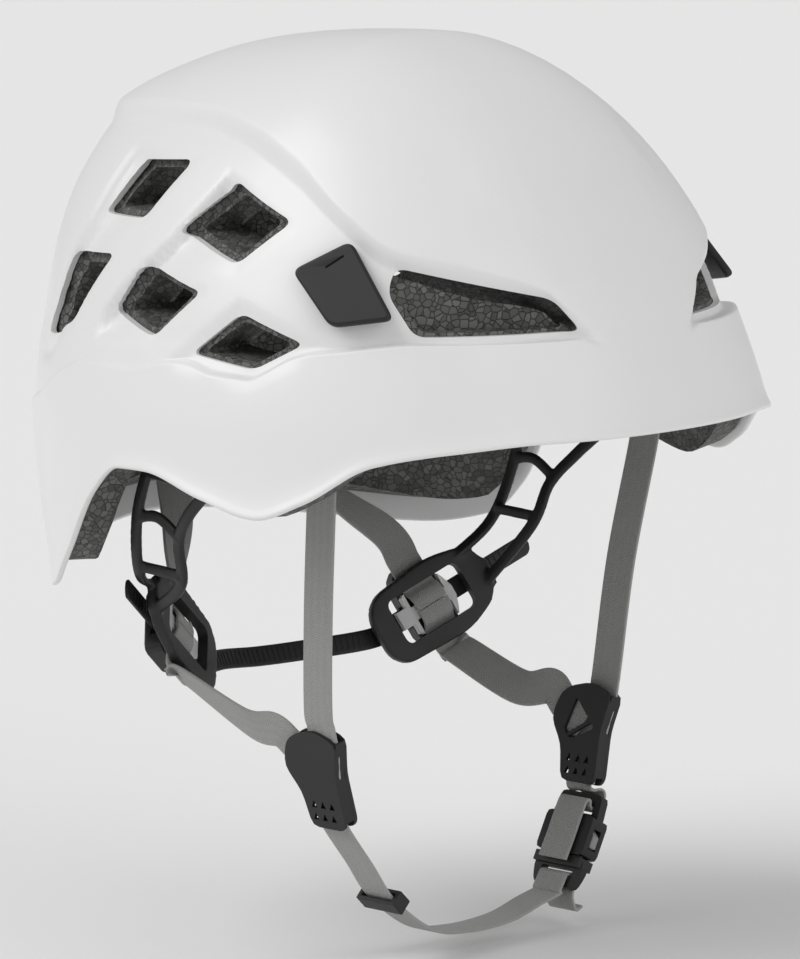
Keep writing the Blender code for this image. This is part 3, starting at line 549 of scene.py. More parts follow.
# %% Points on the dome
def along_line(line, angle):
    """Heights or depths of a line at some angles: a smooth curve through its points that never overshoots."""
    a = np.abs((np.asarray(angle, float) + 180) % 360 - 180)
    x, y = np.array(line, float).T
    step = np.diff(x)
    rise = np.diff(y) / step
    slope = np.zeros(len(x))
    before, after = rise[:-1], rise[1:]
    same_way = before * after > 0
    weight_1, weight_2 = 2 * step[1:] + step[:-1], step[1:] + 2 * step[:-1]
    shares = weight_1 / np.where(same_way, before, 1) + weight_2 / np.where(same_way, after, 1)
    mean = (weight_1 + weight_2) / shares
    slope[1:-1] = np.where(same_way, mean, 0)
    i = np.clip(np.searchsorted(x, a, side="right") - 1, 0, len(x) - 2)
    t = (a - x[i]) / step[i]
    return (y[i] * (1 + 2 * t) * (1 - t) ** 2 + slope[i] * step[i] * t * (1 - t) ** 2
            + y[i + 1] * t * t * (3 - 2 * t) + slope[i + 1] * step[i] * t * t * (t - 1))


def dome(z, reach, blend, squareness, flare, flare_curve, flare_top):
    up = np.clip(z / CROWN_Z, 0, 1)
    below = np.maximum(flare_top - z, 0)
    return reach * (1 - up ** blend) ** (1 / squareness) + flare * below + flare_curve * below * below


def on_dome(angle, z):
    """Points of the smooth outer surface, as an array of x, y, z in millimetres."""
    t = np.radians(angle)
    s, c = np.sin(t), np.cos(t)
    half = dome(z, 110.0, 1.66, 2.52, 0.12, 0.001, 30)
    rear = dome(z, 156.5, 4.0, 2.12, 0.05, -0.0054, 20)
    rear = rear + 2.6 * np.exp(-((z - 96) / 9) ** 2) - 2.2 * np.exp(-((z - 114) / 7) ** 2)
    reach = np.where(c > 0, dome(z, 112.0, 2.07, 1.5, 0.11, 0.0027, 35), rear)
    half, reach = np.maximum(half, 0.01), np.maximum(reach, 0.01)
    n = 1.90 + 0.39 * smoothstep((1 + c) / 2)
    r = (np.abs(s / half) ** n + np.abs(c / reach) ** n) ** (-1 / n)
    return np.stack([-r * s, -r * c + CENTRE_Y, z + 0 * r], axis=-1)


def outward(angle, z):
    top = np.minimum(z, CROWN_Z - 1.5)
    around = on_dome(angle + 1, top) - on_dome(angle - 1, top)
    upward = on_dome(angle, top + 0.5) - on_dome(angle, top - 0.5)
    normal = np.cross(upward, around)
    return normal / np.linalg.norm(normal, axis=-1, keepdims=True)


def sunk(angle, z, depth):
    return on_dome(angle, z) - outward(angle, z) * np.asarray(depth)[..., None]


# %% [markdown]
# The crown, the belt and the zone between them lie at different depths. Rather than one hard step, the depth
# is a profile up the side: round over the belt's shoulder, along the sunken zone, up the crown's bevel and
# round again over its edge. The rows of the grid are packed close together where the profile turns, so that
# the highlights are crisp but have no facets.

# %% The rows of the cap and their depth
def zone_depth(angle, z):
    """How far the surface lies below the smooth dome at a place."""
    belt, foot, top = (along_line(line, angle) for line in (BELT_LINE, CAP_FOOT_LINE, CAP_TOP_LINE))
    share = np.clip((z - belt) / np.maximum(foot - belt, 0.1), 0, 1)
    floor = along_line(BELT_LEDGE, angle) * (1 - share) + along_line(CAP_LEDGE, angle) * share
    floor = floor * smoothstep((z - belt + 1.4) / 2.4)
    climb = np.clip((z - foot) / np.maximum(top - foot, 0.1), 0, 1)
    eased = climb + 0.06 * np.sin(2 * np.pi * climb) * -1
    return floor * (1 - np.clip(eased, 0, 1))


ZONE_ROWS = 32
CROWN_SHARES = (0, 0.03, 0.06, 0.1, 0.14, 0.18, 0.23, 0.28, 0.33, 0.38, 0.44, 0.5, 0.57, 0.64, 0.72, 0.8,
                0.88, 0.95)


def cap_rows(lift=0.0, crown=True):
    """Heights of each row as functions of the angle, from the rim up."""
    def between(low, high, share, extra_low=0.0, extra_high=0.0):
        def row(a):
            return (along_line(low, a) + extra_low) * (1 - share) + (along_line(high, a) + extra_high) * share
        return row
    rows = [between(RIM_LINE, RIM_LINE, 0, lift + d) for d in (0, 0.12, 0.35, 0.7, 1.2, 1.9, 2.8)]
    rows += [between(RIM_LINE, BELT_LINE, s / 10, lift + 4.0, -2.4) for s in range(10)]
    rows += [between(BELT_LINE, BELT_LINE, 0, d) for d in (-2.0, -1.6, -1.2, -0.7, -0.2, 0.3, 0.7, 1.1)]
    rows += [between(BELT_LINE, CAP_FOOT_LINE, s / ZONE_ROWS, 1.5, -0.5) for s in range(ZONE_ROWS + 1)]
    if not crown:
        return rows
    rows += [between(CAP_FOOT_LINE, CAP_TOP_LINE, s) for s in (0.0, 0.12, 0.3, 0.5, 0.7, 0.88, 1.0)]

    def crown_row(share):
        def row(a):
            top = along_line(CAP_TOP_LINE, a) + 0.8
            return top + (CROWN_Z - top) * (1 - (1 - share) ** 2)
        return row
    return rows + [crown_row(s) for s in CROWN_SHARES]


# %% [markdown]
# Each row of side vents lies in a channel pressed into the surface. A channel is deepest along its rear wall
# and rises back to the surface at the rib in front of it, which gives every rib one sharp, shaded side.

# %% Channels round the vents
CHANNELS = (
    {"rear": ((138.8, 92), (139, 82), (138.6, 62), (142, 49), (145.2, 19), (144, 8)),
     "front": ((111, 92), (112.8, 86), (118, 65.5), (123.5, 52.7), (131.8, 27.3), (134, 14)),
     "top": ((139, 90.5), (112, 90.5)), "low": 12},
    {"rear": ((99.8, 90), (98.6, 82), (107, 60), (115.6, 45), (120.8, 34), (121.5, 24)),
     "front": ((70, 76), (74.5, 69.8), (85.3, 54.7), (92.6, 45), (102.3, 28.5), (105, 22)),
     "top": ((97.5, 85.6), (73.0, 73.6)), "low": 25},
)
CHANNEL_DEPTH = 3.5
WALL_WIDTH = 4.6
DEGREE = 1.95              # about how many millimetres one degree is along the side


def height_line(line, z):
    """Angle of a line at some heights."""
    heights = [p[1] for p in line][::-1]
    return np.interp(z, heights, [p[0] for p in line][::-1])


def channel_depth(angle, z):
    a = np.abs((angle + 180) % 360 - 180)
    depth = np.zeros(a.shape)
    for channel in CHANNELS:
        rear, front = height_line(channel["rear"], z), height_line(channel["front"], z)
        (a0, z0), (a1, z1) = channel["top"]
        below_top = z1 + (z0 - z1) * (a - a1) / (a0 - a1) - z
        inside = np.minimum((rear - a) * DEGREE, below_top)
        wall = smoothstep(inside / WALL_WIDTH)
        fall = np.clip((a - front) / np.maximum(rear - 2.4 - front, 1), 0, 1)
        low = smoothstep((z - channel["low"]) / 5)
        depth = np.maximum(depth, CHANNEL_DEPTH * wall * smoothstep(fall * 0.75) / smoothstep(0.75) * low)
    return depth


RECESS_LINE = ((0, 81.5), (16, 79.7), (25.3, 80.4), (30.6, 85.3), (35.8, 93.1), (42, 99.4), (60, 112))
RECESS_DEPTH = 0.9


def crown_recess(angle, z):
    """Shallow step that runs across the front of the crown."""
    a = np.abs((angle + 180) % 360 - 180)
    line = along_line(RECESS_LINE, a)
    edge = along_line(CAP_TOP_LINE, a)
    below = smoothstep((line - z) / 5) * smoothstep((z - edge - 3) / 18) * (1 - smoothstep((a - 36) / 16))
    return RECESS_DEPTH * below


def rim_roll(angle, z):
    """The rim's edge is rounded, from 0 on the wall to nearly 1 at its very edge."""
    rise = np.clip((z - along_line(RIM_LINE, angle)) / 1.1, 0, 1)
    return 0.86 - 0.86 * np.sqrt(np.clip(1 - (1 - rise) ** 2, 0, 1))


def rim_flare(angle, z):
    return 0.9 * np.exp(-((z - along_line(RIM_LINE, angle)) / 3.2) ** 2)


def vent_lip(angle, z):
    """Soft lip round the diamond and the front vents: the surface dips a little towards their edges."""
    a = np.abs((angle + 180) % 360 - 180)
    depth = np.zeros(a.shape)
    for name, reach, drop in (("diamond", 5.0, 1.8), ("upper_rear", 2.4, 0.7), ("upper_mid", 2.4, 0.7),
                              ("lower_rear", 2.4, 0.7), ("lower_mid", 2.4, 0.7), ("front", 2.4, 0.7)):
        corners = np.array(VENTS[name]) * (1.9, 1.0)
        place = np.stack([a * 1.9, z + 0 * a], axis=-1)
        outside = np.full(a.shape, -1e9)
        middle = corners.mean(axis=0)
        for i in range(len(corners)):
            p, q = corners[i - 1], corners[i]
            side = np.array([q[1] - p[1], p[0] - q[0]])
            side = side / np.linalg.norm(side)
            if np.dot(side, middle - p) > 0:
                side = -side
            outside = np.maximum(outside, (place - p) @ side)
        depth = np.maximum(depth, drop * (1 - smoothstep(outside / reach)))
    return depth


# %% [markdown]
# ## Building the wrapped sheets
#
# A sheet starts as a flat grid primitive, with one column for each step round the head and one row for each
# height. Its points are then wrapped onto the dome, its first and last columns are merged, and an outer and
# an inner sheet are joined at the rim by a ring of faces.

# %% Wrapping a grid
def wrapped_grid(name, rows, columns, depth, top_depth=None):
    """Grid wrapped round the head; depth is a function of angle and height.

    top_depth is the depth of the point that closes it at the crown.
    """
    count = len(rows)
    bpy.ops.object.select_all(action="DESELECT")
    bpy.ops.mesh.primitive_grid_add(x_subdivisions=columns, y_subdivisions=count - 1, size=1,
                                    location=(0, 0, 0))
    obj = added(name)
    angles = np.linspace(0, 360, columns + 1)
    points = np.empty((count, columns + 1, 3))
    for i, row in enumerate(rows):
        z = row(angles)
        points[i] = sunk(angles, z, depth(angles, z))
    obj.data.vertices.foreach_set("co", (points.reshape(-1, 3) * MM).astype(np.float32).ravel())
    obj.data.update()
    edit(obj, (bpy.ops.mesh.remove_doubles, {"threshold": 0.02 * MM}))
    if top_depth is not None:
        close_crown(obj)
        peak = obj.data.vertices[-1]
        peak.co = (0, CENTRE_Y * MM, (CROWN_Z - top_depth) * MM)
    return obj


def open_edge(obj, wanted):
    """Select the open edges whose middle, in millimetres, is wanted."""
    mesh = obj.data
    uses = np.zeros(len(mesh.edges), int)
    for loop in mesh.loops:
        uses[loop.edge_index] += 1
    for edge in mesh.edges:
        middle = (mesh.vertices[edge.vertices[0]].co + mesh.vertices[edge.vertices[1]].co) / 2 / MM
        edge.select = bool(uses[edge.index] == 1 and wanted(middle))
    for vert in mesh.vertices:
        vert.select = False
    for face in mesh.polygons:
        face.select = False


def select_edges(obj, wanted, *steps):
    pick(obj)
    bpy.ops.object.mode_set(mode="EDIT")
    bpy.ops.mesh.select_mode(type="EDGE")
    bpy.ops.mesh.select_all(action="DESELECT")
    bpy.ops.object.mode_set(mode="OBJECT")
    open_edge(obj, wanted)
    bpy.ops.object.mode_set(mode="EDIT")
    for operator, settings in steps:
        operator(**settings)
    bpy.ops.mesh.select_mode(type="VERT")
    bpy.ops.object.mode_set(mode="OBJECT")


def close_crown(obj):
    """Fan the top edge to one point: extrude it and merge the new points at their centre."""
    crest = max(v.co.z for v in obj.data.vertices) / MM
    select_edges(obj, lambda m: m.z > crest - 6,
                 (bpy.ops.mesh.extrude_region_move, {}),
                 (bpy.ops.mesh.merge, {"type": "CENTER"}))


def open_loops(obj):
    """The rings of open edges, each as a set of edge numbers, from the lowest ring to the highest."""
    mesh = obj.data
    uses = np.zeros(len(mesh.edges), int)
    for loop in mesh.loops:
        uses[loop.edge_index] += 1
    meeting = {}
    for edge in mesh.edges:
        if uses[edge.index] == 1:
            for number in edge.vertices:
                meeting.setdefault(number, []).append(edge.index)
    rings, seen_edges = [], set()
    for first in [edges[0] for edges in meeting.values()]:
        if first in seen_edges:
            continue
        ring, waiting = set(), [first]
        while waiting:
            current = waiting.pop()
            if current in ring:
                continue
            ring.add(current)
            for number in mesh.edges[current].vertices:
                waiting += meeting[number]
        seen_edges |= ring
        rings.append(ring)

    def height(ring):
        return sum(mesh.vertices[mesh.edges[number].vertices[0]].co.z for number in ring) / len(ring)
    return sorted(rings, key=height)


def closed_pair(name, outer, inner, ends=1):
    """Join the rims of an outer and an inner sheet, and their tops if they are open, into one closed wall.

    The points of both rings are matched by their angle round the head, so that the faces can't twist.
    """
    obj = join(outer, inner)
    obj.name = obj.data.name = name
    for _ in range(ends):
        first, second = (ring_points(obj, ring) for ring in open_loops(obj)[:2])
        sheet = bmesh.new()
        sheet.from_mesh(obj.data)
        sheet.verts.ensure_lookup_table()
        for i, number in enumerate(first):
            j = (i + 1) % len(first)
            corners = [number, first[j], second[j], second[i]]
            sheet.faces.new([sheet.verts[corner] for corner in corners])
        sheet.to_mesh(obj.data)
        sheet.free()
    return clean(obj, 0.005)


def ring_points(obj, ring):
    """Vertex numbers of a ring in order of their angle round the head."""
    mesh = obj.data
    numbers = {number for edge in ring for number in mesh.edges[edge].vertices}

    def angle(number):
        place = mesh.vertices[number].co
        return math.atan2(place.x, -(place.y - CENTRE_Y * MM)) % (2 * math.pi - 1e-4)
    return sorted(numbers, key=angle)


# %% Cutting vents
def vent_cutter(name, corners, side, inner, outer, scale=1.0, taper=1.0, corner_radius=3.5):
    """Prism with rounded corners through the wall over a vent, narrower at its inner end by the taper."""
    angles = np.array([a for a, _ in corners]) * -side
    heights = np.array([z for _, z in corners], float)
    centre = Vector(on_dome(np.array([angles.mean()]), np.array([heights.mean()]))[0])
    axis = Vector(outward(np.array([angles.mean()]), np.array([heights.mean()]))[0])
    place = Frame(centre, axis.cross(Vector((0, 0, 1))), Vector((0, 0, 1)))
    if place.n.dot(axis) < 0:
        place.u.negate()
        place.n.negate()
    points = [Vector(p) - centre for p in on_dome(angles, heights)]
    outline = rounded([(p.dot(place.u) * scale, p.dot(place.v) * scale) for p in points], corner_radius)
    return plate(name, place, outline, outer, -inner, taper)


SKIN_COLUMNS = 400


def skin_depth(angle, z):
    reliefs = (zone_depth, channel_depth, vent_lip, crown_recess)
    return sum(relief_of(angle, z) for relief_of in reliefs) - rim_flare(angle, z)


def outer_depth(angle, z):
    return skin_depth(angle, z) + WALL * 0.5 * rim_roll(angle, z)


def inner_depth(angle, z):
    return skin_depth(angle, z) + WALL * (1 - 0.5 * rim_roll(angle, z))


outer_sheet = wrapped_grid("shell_cap", cap_rows(), SKIN_COLUMNS, outer_depth, 0.0)
inner_sheet = wrapped_grid("shell_inside", cap_rows(), SKIN_COLUMNS, inner_depth, WALL)
shell_cap = closed_pair("shell_cap", outer_sheet, inner_sheet)
print("cap before its vents:", len(shell_cap.data.polygons), "faces")

# %% [markdown]
# ## Lamp clips
#
# Three levers hold a lamp's strap. Each is a plate on a root block that passes through the cap in a slot. A
# lever's plane is found from its corners on the dome.

# %% Places of the lamp clips
CLIPS = {
    "front_right": (((59, 65.5), (70.5, 54.5), (61, 37), (49.5, 39.5)), -1, 2.2, -0.6),
    "front_left": (((59, 65.5), (70.5, 54.5), (61, 37), (49.5, 39.5)), 1, 2.2, -0.6),
    "rear": (((174, 42), (186, 42), (185.5, 19), (174.5, 19)), -1, -1.2, -2.0),
}
CLIP_THICK = 3.0


def clip_place(corners, side, root_depth, free_depth):
    depths = (root_depth, root_depth, free_depth, free_depth)
    pts = [Vector(sunk(np.array([-a * side]), np.array([float(z)]), np.array([d]))[0])
           for (a, z), d in zip(corners, depths)]
    root, free = (pts[0] + pts[1]) / 2, (pts[2] + pts[3]) / 2
    normal = (pts[0] - pts[2]).cross(pts[1] - pts[3]).normalized()
    centre = (root + free) / 2
    if normal.dot(centre - Vector((0, CENTRE_Y, centre.z))) < 0:
        normal.negate()
    place = Frame(centre, (root - free).cross(normal), root - free)
    return place, [((p - centre).dot(place.u), (p - centre).dot(place.v)) for p in pts]


cutters = []
for key, side in SIDES.items():
    for name, corners in VENTS.items():
        cutters.append(vent_cutter(f"cut_{name}_{key}", corners, side, 24, 14, corner_radius=4.0))
for name, (corners, side, root_depth, free_depth) in CLIPS.items():
    place, outline = clip_place(corners, side, root_depth, free_depth)
    middle = sum(u for u, _ in outline[:2]) / 2
    top = sum(v for _, v in outline[:2]) / 2
    slot = rounded(rectangle(middle - 5.5, middle + 5.5, top - 9.5, top - 3.5), 0.8)
    cutters.append(plate(f"slot_{name}", place, slot, -14, 3))
combine(shell_cap, cutters)
clean(shell_cap, 0.004)
smooth_shade(shell_cap, 48)
finish(shell_cap, CAP_WHITE, "shell", "helmet", "outer_shell")
print("cap:", len(shell_cap.data.polygons), "faces")

# %% Levers of the lamp clips
for name, (corners, side, root_depth, free_depth) in CLIPS.items():
    place, outline = clip_place(corners, side, root_depth, free_depth)
    lever = plate(f"lever_{name}", place, rounded(outline, 3.6), 0.0, CLIP_THICK)
    root_u, root_v = (outline[0][0] + outline[1][0]) / 2, (outline[0][1] + outline[1][1]) / 2
    slit_u = root_u + math.copysign(2.8, outline[0][0] - outline[1][0])
    soften(lever, 1.1, 5)
    slit_outline = rounded(rectangle(slit_u - 3.7, slit_u + 3.7, root_v - 5.5, root_v - 4.6), 0.4)
    slit = plate("slit", place, slit_outline, CLIP_THICK - 0.7, CLIP_THICK + 2)
    combine(lever, [slit])
    even_normals(lever)
    finish(lever, LEVER_BLACK, "plastic", "lamp_clip_" + name, "clip_" + name)
    root = packed_copy("clip_root_" + name, "lever_root_" + name)
    soften(root, 0.4)
    finish(root, LEVER_BLACK, "plastic", "helmet", "clip_root_" + name)
print("levers:", ", ".join(CLIPS))

# %% [markdown]
# ## Foam
#
# The foam inside is moulded from beads, so its surface shows a mosaic of rounded cells. The side foam is a
# band below the crown's edge, thicker upwards, with a well behind each vent. Its rim has a soft round lip
# just inside the cap's, and ends higher above it behind the ears.

# %% Side foam
FOAM_COLUMNS = 180
FOAM_LIFT = 2.5
FOAM_REAR_LIFT = 6.0


def lifted(row, share):
    """A row raised behind the ears, where the foam ends further above the cap's rim."""
    def place(a):
        around = np.abs((a + 180) % 360 - 180)
        return row(a) + FOAM_REAR_LIFT * (1 - share) * smoothstep((around - 104) / 10)
    return place


plain_rows = cap_rows(FOAM_LIFT, crown=False)
foam_rows = [lifted(row, max(0, i - 6) / 11 if i < 17 else 1) for i, row in enumerate(plain_rows)]
foam_outer = wrapped_grid("liner_foam", foam_rows, FOAM_COLUMNS,
                          lambda a, z: zone_depth(a, z) + channel_depth(a, z) + FOAM_DEPTH)


def liner_inner_depth(angle, z):
    rise = z - along_line(RIM_LINE, angle)
    return FOAM_DEPTH + 10.0 + 9.0 * smoothstep(rise / 45)


foam_inner = wrapped_grid("liner_inside", foam_rows, FOAM_COLUMNS, liner_inner_depth)
liner_foam = closed_pair("liner_foam", foam_outer, foam_inner, ends=2)
WELL_TAPER = (0.5, 0.9)     # a side well narrows inwards; the front well hardly does
wells = []
for key, side in SIDES.items():
    for name, corners in VENTS.items():
        deep = 12 if name == "front" else 40
        taper = WELL_TAPER[name == "front"]
        wells.append(vent_cutter(f"well_{name}_{key}", corners, side, deep, 14, 0.95, taper, 3.5))
combine(liner_foam, wells)
clean(liner_foam, 0.004)
soften(liner_foam, 1.6, 4, 50)
finish(liner_foam, BEAD_FOAM, "foam", "helmet", "foam_liner")
print("side foam:", len(liner_foam.data.polygons), "faces")


# %% Crown foam
def core_row(share):
    def row(a):
        foot = along_line(CAP_TOP_LINE, a) + 1.0
        return foot + (CROWN_Z - foot) * (1 - (1 - share) ** 2)
    return row


core_rows = [core_row(s) for s in (0, 0.06, 0.14, 0.25, 0.38, 0.52, 0.66, 0.8, 0.92)]
core_outer = wrapped_grid("crown_foam", core_rows, 120, lambda a, z: 0 * a + 4.4, 4.4)
core_inner = wrapped_grid("crown_inside", core_rows, 120, lambda a, z: 0 * a + 23.2, 23.2)
crown_foam = closed_pair("crown_foam", core_outer, core_inner)
soften(crown_foam, 1.0, 3, 50)
finish(crown_foam, CORE_FOAM, "core", "helmet", "crown_core")
print("crown foam:", len(crown_foam.data.polygons), "faces")

# %% [markdown]
# ## Comfort pads
#
# The pads are soft, so their shape is left to a cloth simulation. Each starts as a copy of the imported pad,
# remeshed to even small faces, and is inflated with a little pressure and no gravity. How far it may swell is
# limited, so that it stays on the foam.

# %% Inflating the pads
def inflated(name, source, voxel, swell):
    obj = packed_copy(source, name)
    modify(obj, "REMESH", mode="VOXEL", voxel_size=voxel * MM)
    rest = np.array([v.co for v in obj.data.vertices])
    cloth = obj.modifiers.new("cloth", "CLOTH")
    cloth.settings.use_pressure = True
    cloth.settings.uniform_pressure_force = 4
    cloth.settings.effector_weights.gravity = 0
    cloth.point_cache.frame_end = 20
    for number in range(1, 21):
        bpy.context.scene.frame_set(number)
    apply_modifiers(obj)
    bpy.context.scene.frame_set(1)
    moved = np.array([v.co for v in obj.data.vertices]) - rest
    length = np.linalg.norm(moved, axis=1, keepdims=True)
    moved *= np.minimum(1, swell * MM / np.maximum(length, 1e-9))
    obj.data.vertices.foreach_set("co", (rest + moved).astype(np.float32).ravel())
    obj.data.update()
    modify(obj, "SMOOTH", factor=0.5, iterations=4)
    modify(obj, "SUBSURF", levels=1, render_levels=1)
    smooth_shade(obj, 60)
    finish(obj, KNIT, "pad", "helmet", source)
    return obj


for pad, voxel in (("pad_front", 2.0), ("pad_rear", 2.0), ("pad_crown", 2.0)):
    made = inflated(pad.replace("pad_", "") + "_cushion", pad, voxel, 1.2)
    print(made.name, len(made.data.polygons), "faces")

# %% [markdown]
# ## Nape cradle
#
# The two cradle frames are each one moulding: a paddle with a window, and a ladder of two rails and four
# rungs that climbs into the helmet. They are made again here from rounder parts, then remeshed finely and
# smoothed so that the rungs grow out of the rails with soft fillets.

# %% Places of the paddles
PADDLE = {
    "right": {"centre": (-62.5, 40.5, -80.5), "along": (-41, -11, 33), "band_end": 33},
    "left": {"centre": (62.5, 40.5, -86.5), "along": (41, -11, 19), "band_end": 48},
}
PADDLE_FACING = (0.36, 0.88, -0.31)
PADDLE_OUTLINE = ((-25, -9), (-20, -14.5), (8, -15.5), (23, -10), (27, 2), (22, 12), (6, 15.5), (-19, 13),
                  (-25, 7))
PLATE_THICK = 4.0
WEB_THICK = 1.2
WEB_WIDTH = 13.0
TOUCH = 0.3
BAND_LEVEL = 6.6
OVER_RIM = PLATE_THICK / 2 + TOUCH + WEB_THICK / 2
IN_WINDOW = -0.6


def paddle_place(key):
    """u along the paddle towards its arm, v up across it, n out of the helmet."""
    side = SIDES[key]
    along_it = Vector(PADDLE[key]["along"]).normalized()
    facing = Vector((PADDLE_FACING[0] * side, PADDLE_FACING[1], PADDLE_FACING[2]))
    across = facing.cross(along_it) * side
    if across.z < 0:
        across.negate()
    place = Frame(PADDLE[key]["centre"], along_it, across)
    if place.n.dot(facing) < 0:
        place.n.negate()
    return place


# %% [markdown]
# Straps, rails and the band are all strips swept along a curve. A strip starts as a grid primitive, whose
# points are placed as rings on the section at each step of the curve and closed into a tube. A rounded section
# gives the soft edges of woven tape. The strip's UV map is in metres, so that the weave keeps its size.

# %% Strips along a curve
def section(width, thick, roundness, steps=4):
    """Rounded rectangle as (across, out) pairs, with a middle line for the weave."""
    w, t = width / 2, thick / 2
    r = min(roundness, t * 0.98, w * 0.98)
    points = []
    for cx, cy, start in ((w - r, t - r, 0), (r - w, t - r, 90), (r - w, r - t, 180), (w - r, r - t, 270)):
        for k in range(steps + 1):
            a = math.radians(start + 90 * k / steps)
            points.append((cx + r * math.cos(a), cy + r * math.sin(a)))
        if start in (0, 180):
            far = (r - w) if start == 0 else (w - r)
            level = t if start == 0 else -t
            near = (w - r) if start == 0 else (r - w)
            for k in range(1, 6):
                points.append((near + (far - near) * k / 6, level))
    return points


def strip(name, curve, across, width, thick, twist=(0, 1), roundness=0.45, taper=None):
    """Swept strip; across is the width direction, or one for each end of the twist.

    taper gives the share of the width at each share of the length.
    """
    shape = section(width, thick, roundness)
    count = len(shape)
    rows = len(curve)
    bpy.ops.object.select_all(action="DESELECT")
    bpy.ops.mesh.primitive_grid_add(x_subdivisions=count, y_subdivisions=rows - 1, size=1, location=(0, 0, 0))
    obj = added(name)
    first, last = across if isinstance(across[0], (tuple, Vector)) else (across, across)
    first, last = Vector(first), Vector(last)
    places, sides, outs, lengths, travelled = [], [], [], [], 0.0
    for i, p in enumerate(curve):
        ahead = (curve[min(i + 1, rows - 1)] - curve[max(i - 1, 0)]).normalized()
        share = i / (rows - 1)
        side = first.lerp(last, float(smoothstep((share - twist[0]) / (twist[1] - twist[0]))))
        side = (side - ahead * side.dot(ahead)).normalized()
        travelled += (p - curve[i - 1]).length if i else 0.0
        places.append(p)
        sides.append(side)
        outs.append(ahead.cross(side).normalized())
        lengths.append(travelled)
    points = []
    for i in range(rows):
        scale = taper(i / (rows - 1)) if taper else 1.0
        for k in range(count + 1):
            a, b = shape[k % count]
            points.append((places[i] + sides[i] * a * scale + outs[i] * b) * MM)
    obj.data.vertices.foreach_set("co", np.array(points, np.float32).ravel())
    uv = obj.data.uv_layers[0] if obj.data.uv_layers else obj.data.uv_layers.new(name="UVMap")
    uv.name = "UVMap"
    for loop in obj.data.loops:
        i, k = divmod(loop.vertex_index, count + 1)
        uv.data[loop.index].uv = (shape[k % count][0] * MM, lengths[i] * MM)
    obj.data.update()
    edit(obj, (bpy.ops.mesh.remove_doubles, {"threshold": 0.002 * MM}))
    for end, neighbour in ((curve[0], curve[1]), (curve[-1], curve[-2])):
        ahead = (neighbour - end).normalized()
        select_edges(obj, lambda m: abs((m - end).dot(ahead)) < 0.1 and (m - end).length < width,
                     (bpy.ops.mesh.edge_face_add, {}))
    edit(obj, (bpy.ops.mesh.normals_make_consistent, {"inside": False}))
    return smooth_shade(obj, 50)


# %% Cradle frames
def cradle_frame(key):
    side = SIDES[key]
    place = paddle_place(key)
    base = plate(f"nape_frame_{key}", place, rounded(PADDLE_OUTLINE, 6), -1.9, 1.9)

    def world(x, y, z):
        return Vector((x * side, y, z))
    rear = [place.at(16, 10), world(88, 35, -58), world(94.5, 30, -37), world(93.4, 25.5, -19),
            world(90, 22.5, -8)]
    front = [place.at(22, -4), world(88, 15, -58), world(93, 11, -43), world(97, 2, -32),
             world(98.4, -12, -20), world(96.3, -23, -10)]
    links = [
        [world(89, 34, -54), world(89.5, 14, -55)],
        [world(94.5, 30, -36), world(94.2, 20, -35), world(94, 9.5, -41)],
        [world(93.4, 25.5, -20), world(95.6, 12, -20.5), world(98.2, -11, -20)],
        [world(90, 23, -8.5), world(92.6, 8, -8), world(96, -22, -11)],
    ]
    rails = (rear, front)
    bars = [strip("rail", through(route, 10), (0, 1, 0.2), 4.4, 2.6, roundness=0.9) for route in rails]
    bars += [strip("rung", through(route, 8), (0, 0.2, 1), 4.0, 2.4, roundness=0.9) for route in links]
    bars.append(plate("heel", place, [(14.5, 11), (14.5, -11), (26, -6), (27, 3), (21, 11.5)], -1.8, 1.8))
    hub = Frame(world(0, 8, -8), (0, 1, 0), (0, 0, 1))
    bars.append(plate("boss", hub, disc(5.5, 40), 91.0 * side, 94.3 * side))
    join(base, *bars)
    modify(base, "REMESH", mode="VOXEL", voxel_size=0.62 * MM)
    modify(base, "SMOOTH", factor=0.5, iterations=5)
    window = rounded(rectangle(-16.5, 15.5, -8.8, 8.8), 3.2)
    bore = plate("bore", hub, disc(2.7, 40), 86.0 * side, 98.0 * side)
    combine(base, [plate("window", place, window, -6, 6), bore])
    modify(base, "DECIMATE", ratio=0.5)
    smooth_shade(base, 40)
    finish(base, NYLON, "plastic", "cradle", f"cradle_frame_{key}")
    return base


for key in SIDES:
    made = cradle_frame(key)
    print(made.name, len(made.data.polygons), "faces")

# %% [markdown]
# ## Adjusters
#
# A slider carries the ribbed nape band across each paddle, and a translucent catch fills the paddle's window
# and pinches the webbing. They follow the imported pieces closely, with rounded edges and finger ribs.

# %% Sliders, catches and the nape band
for key, side in SIDES.items():
    place = paddle_place(key)
    slider = packed_copy(f"band_slider_{key}", f"slider_shell_{key}")
    soften(slider, 0.7, 3, 30)
    ribs = []
    for v in (7.2, 9.2, 11.2, 13.2):
        outline = rounded(rectangle(-5.5, 5.5, v - 0.45, v + 0.45), 0.4)
        ribs.append(plate("rib", place, outline, BAND_LEVEL + 3.6, BAND_LEVEL + 4.55))
    combine(slider, ribs, "UNION")
    smooth_shade(slider, 40)
    finish(slider, NYLON, "plastic", f"slider_{key}", f"band_slider_{key}")
    catch = packed_copy(f"catch_{key}", f"catch_disc_{key}")
    soften(catch, 0.45, 3, 30)
    finish(catch, MILKY, "catch", f"catch_button_{key}", f"catch_{key}")
    pivot = packed_copy(f"cradle_pivot_{key}", f"pivot_pin_{key}")
    soften(pivot, 0.3, 3, 30)
    finish(pivot, NYLON, "plastic", "helmet", f"cradle_pivot_{key}")

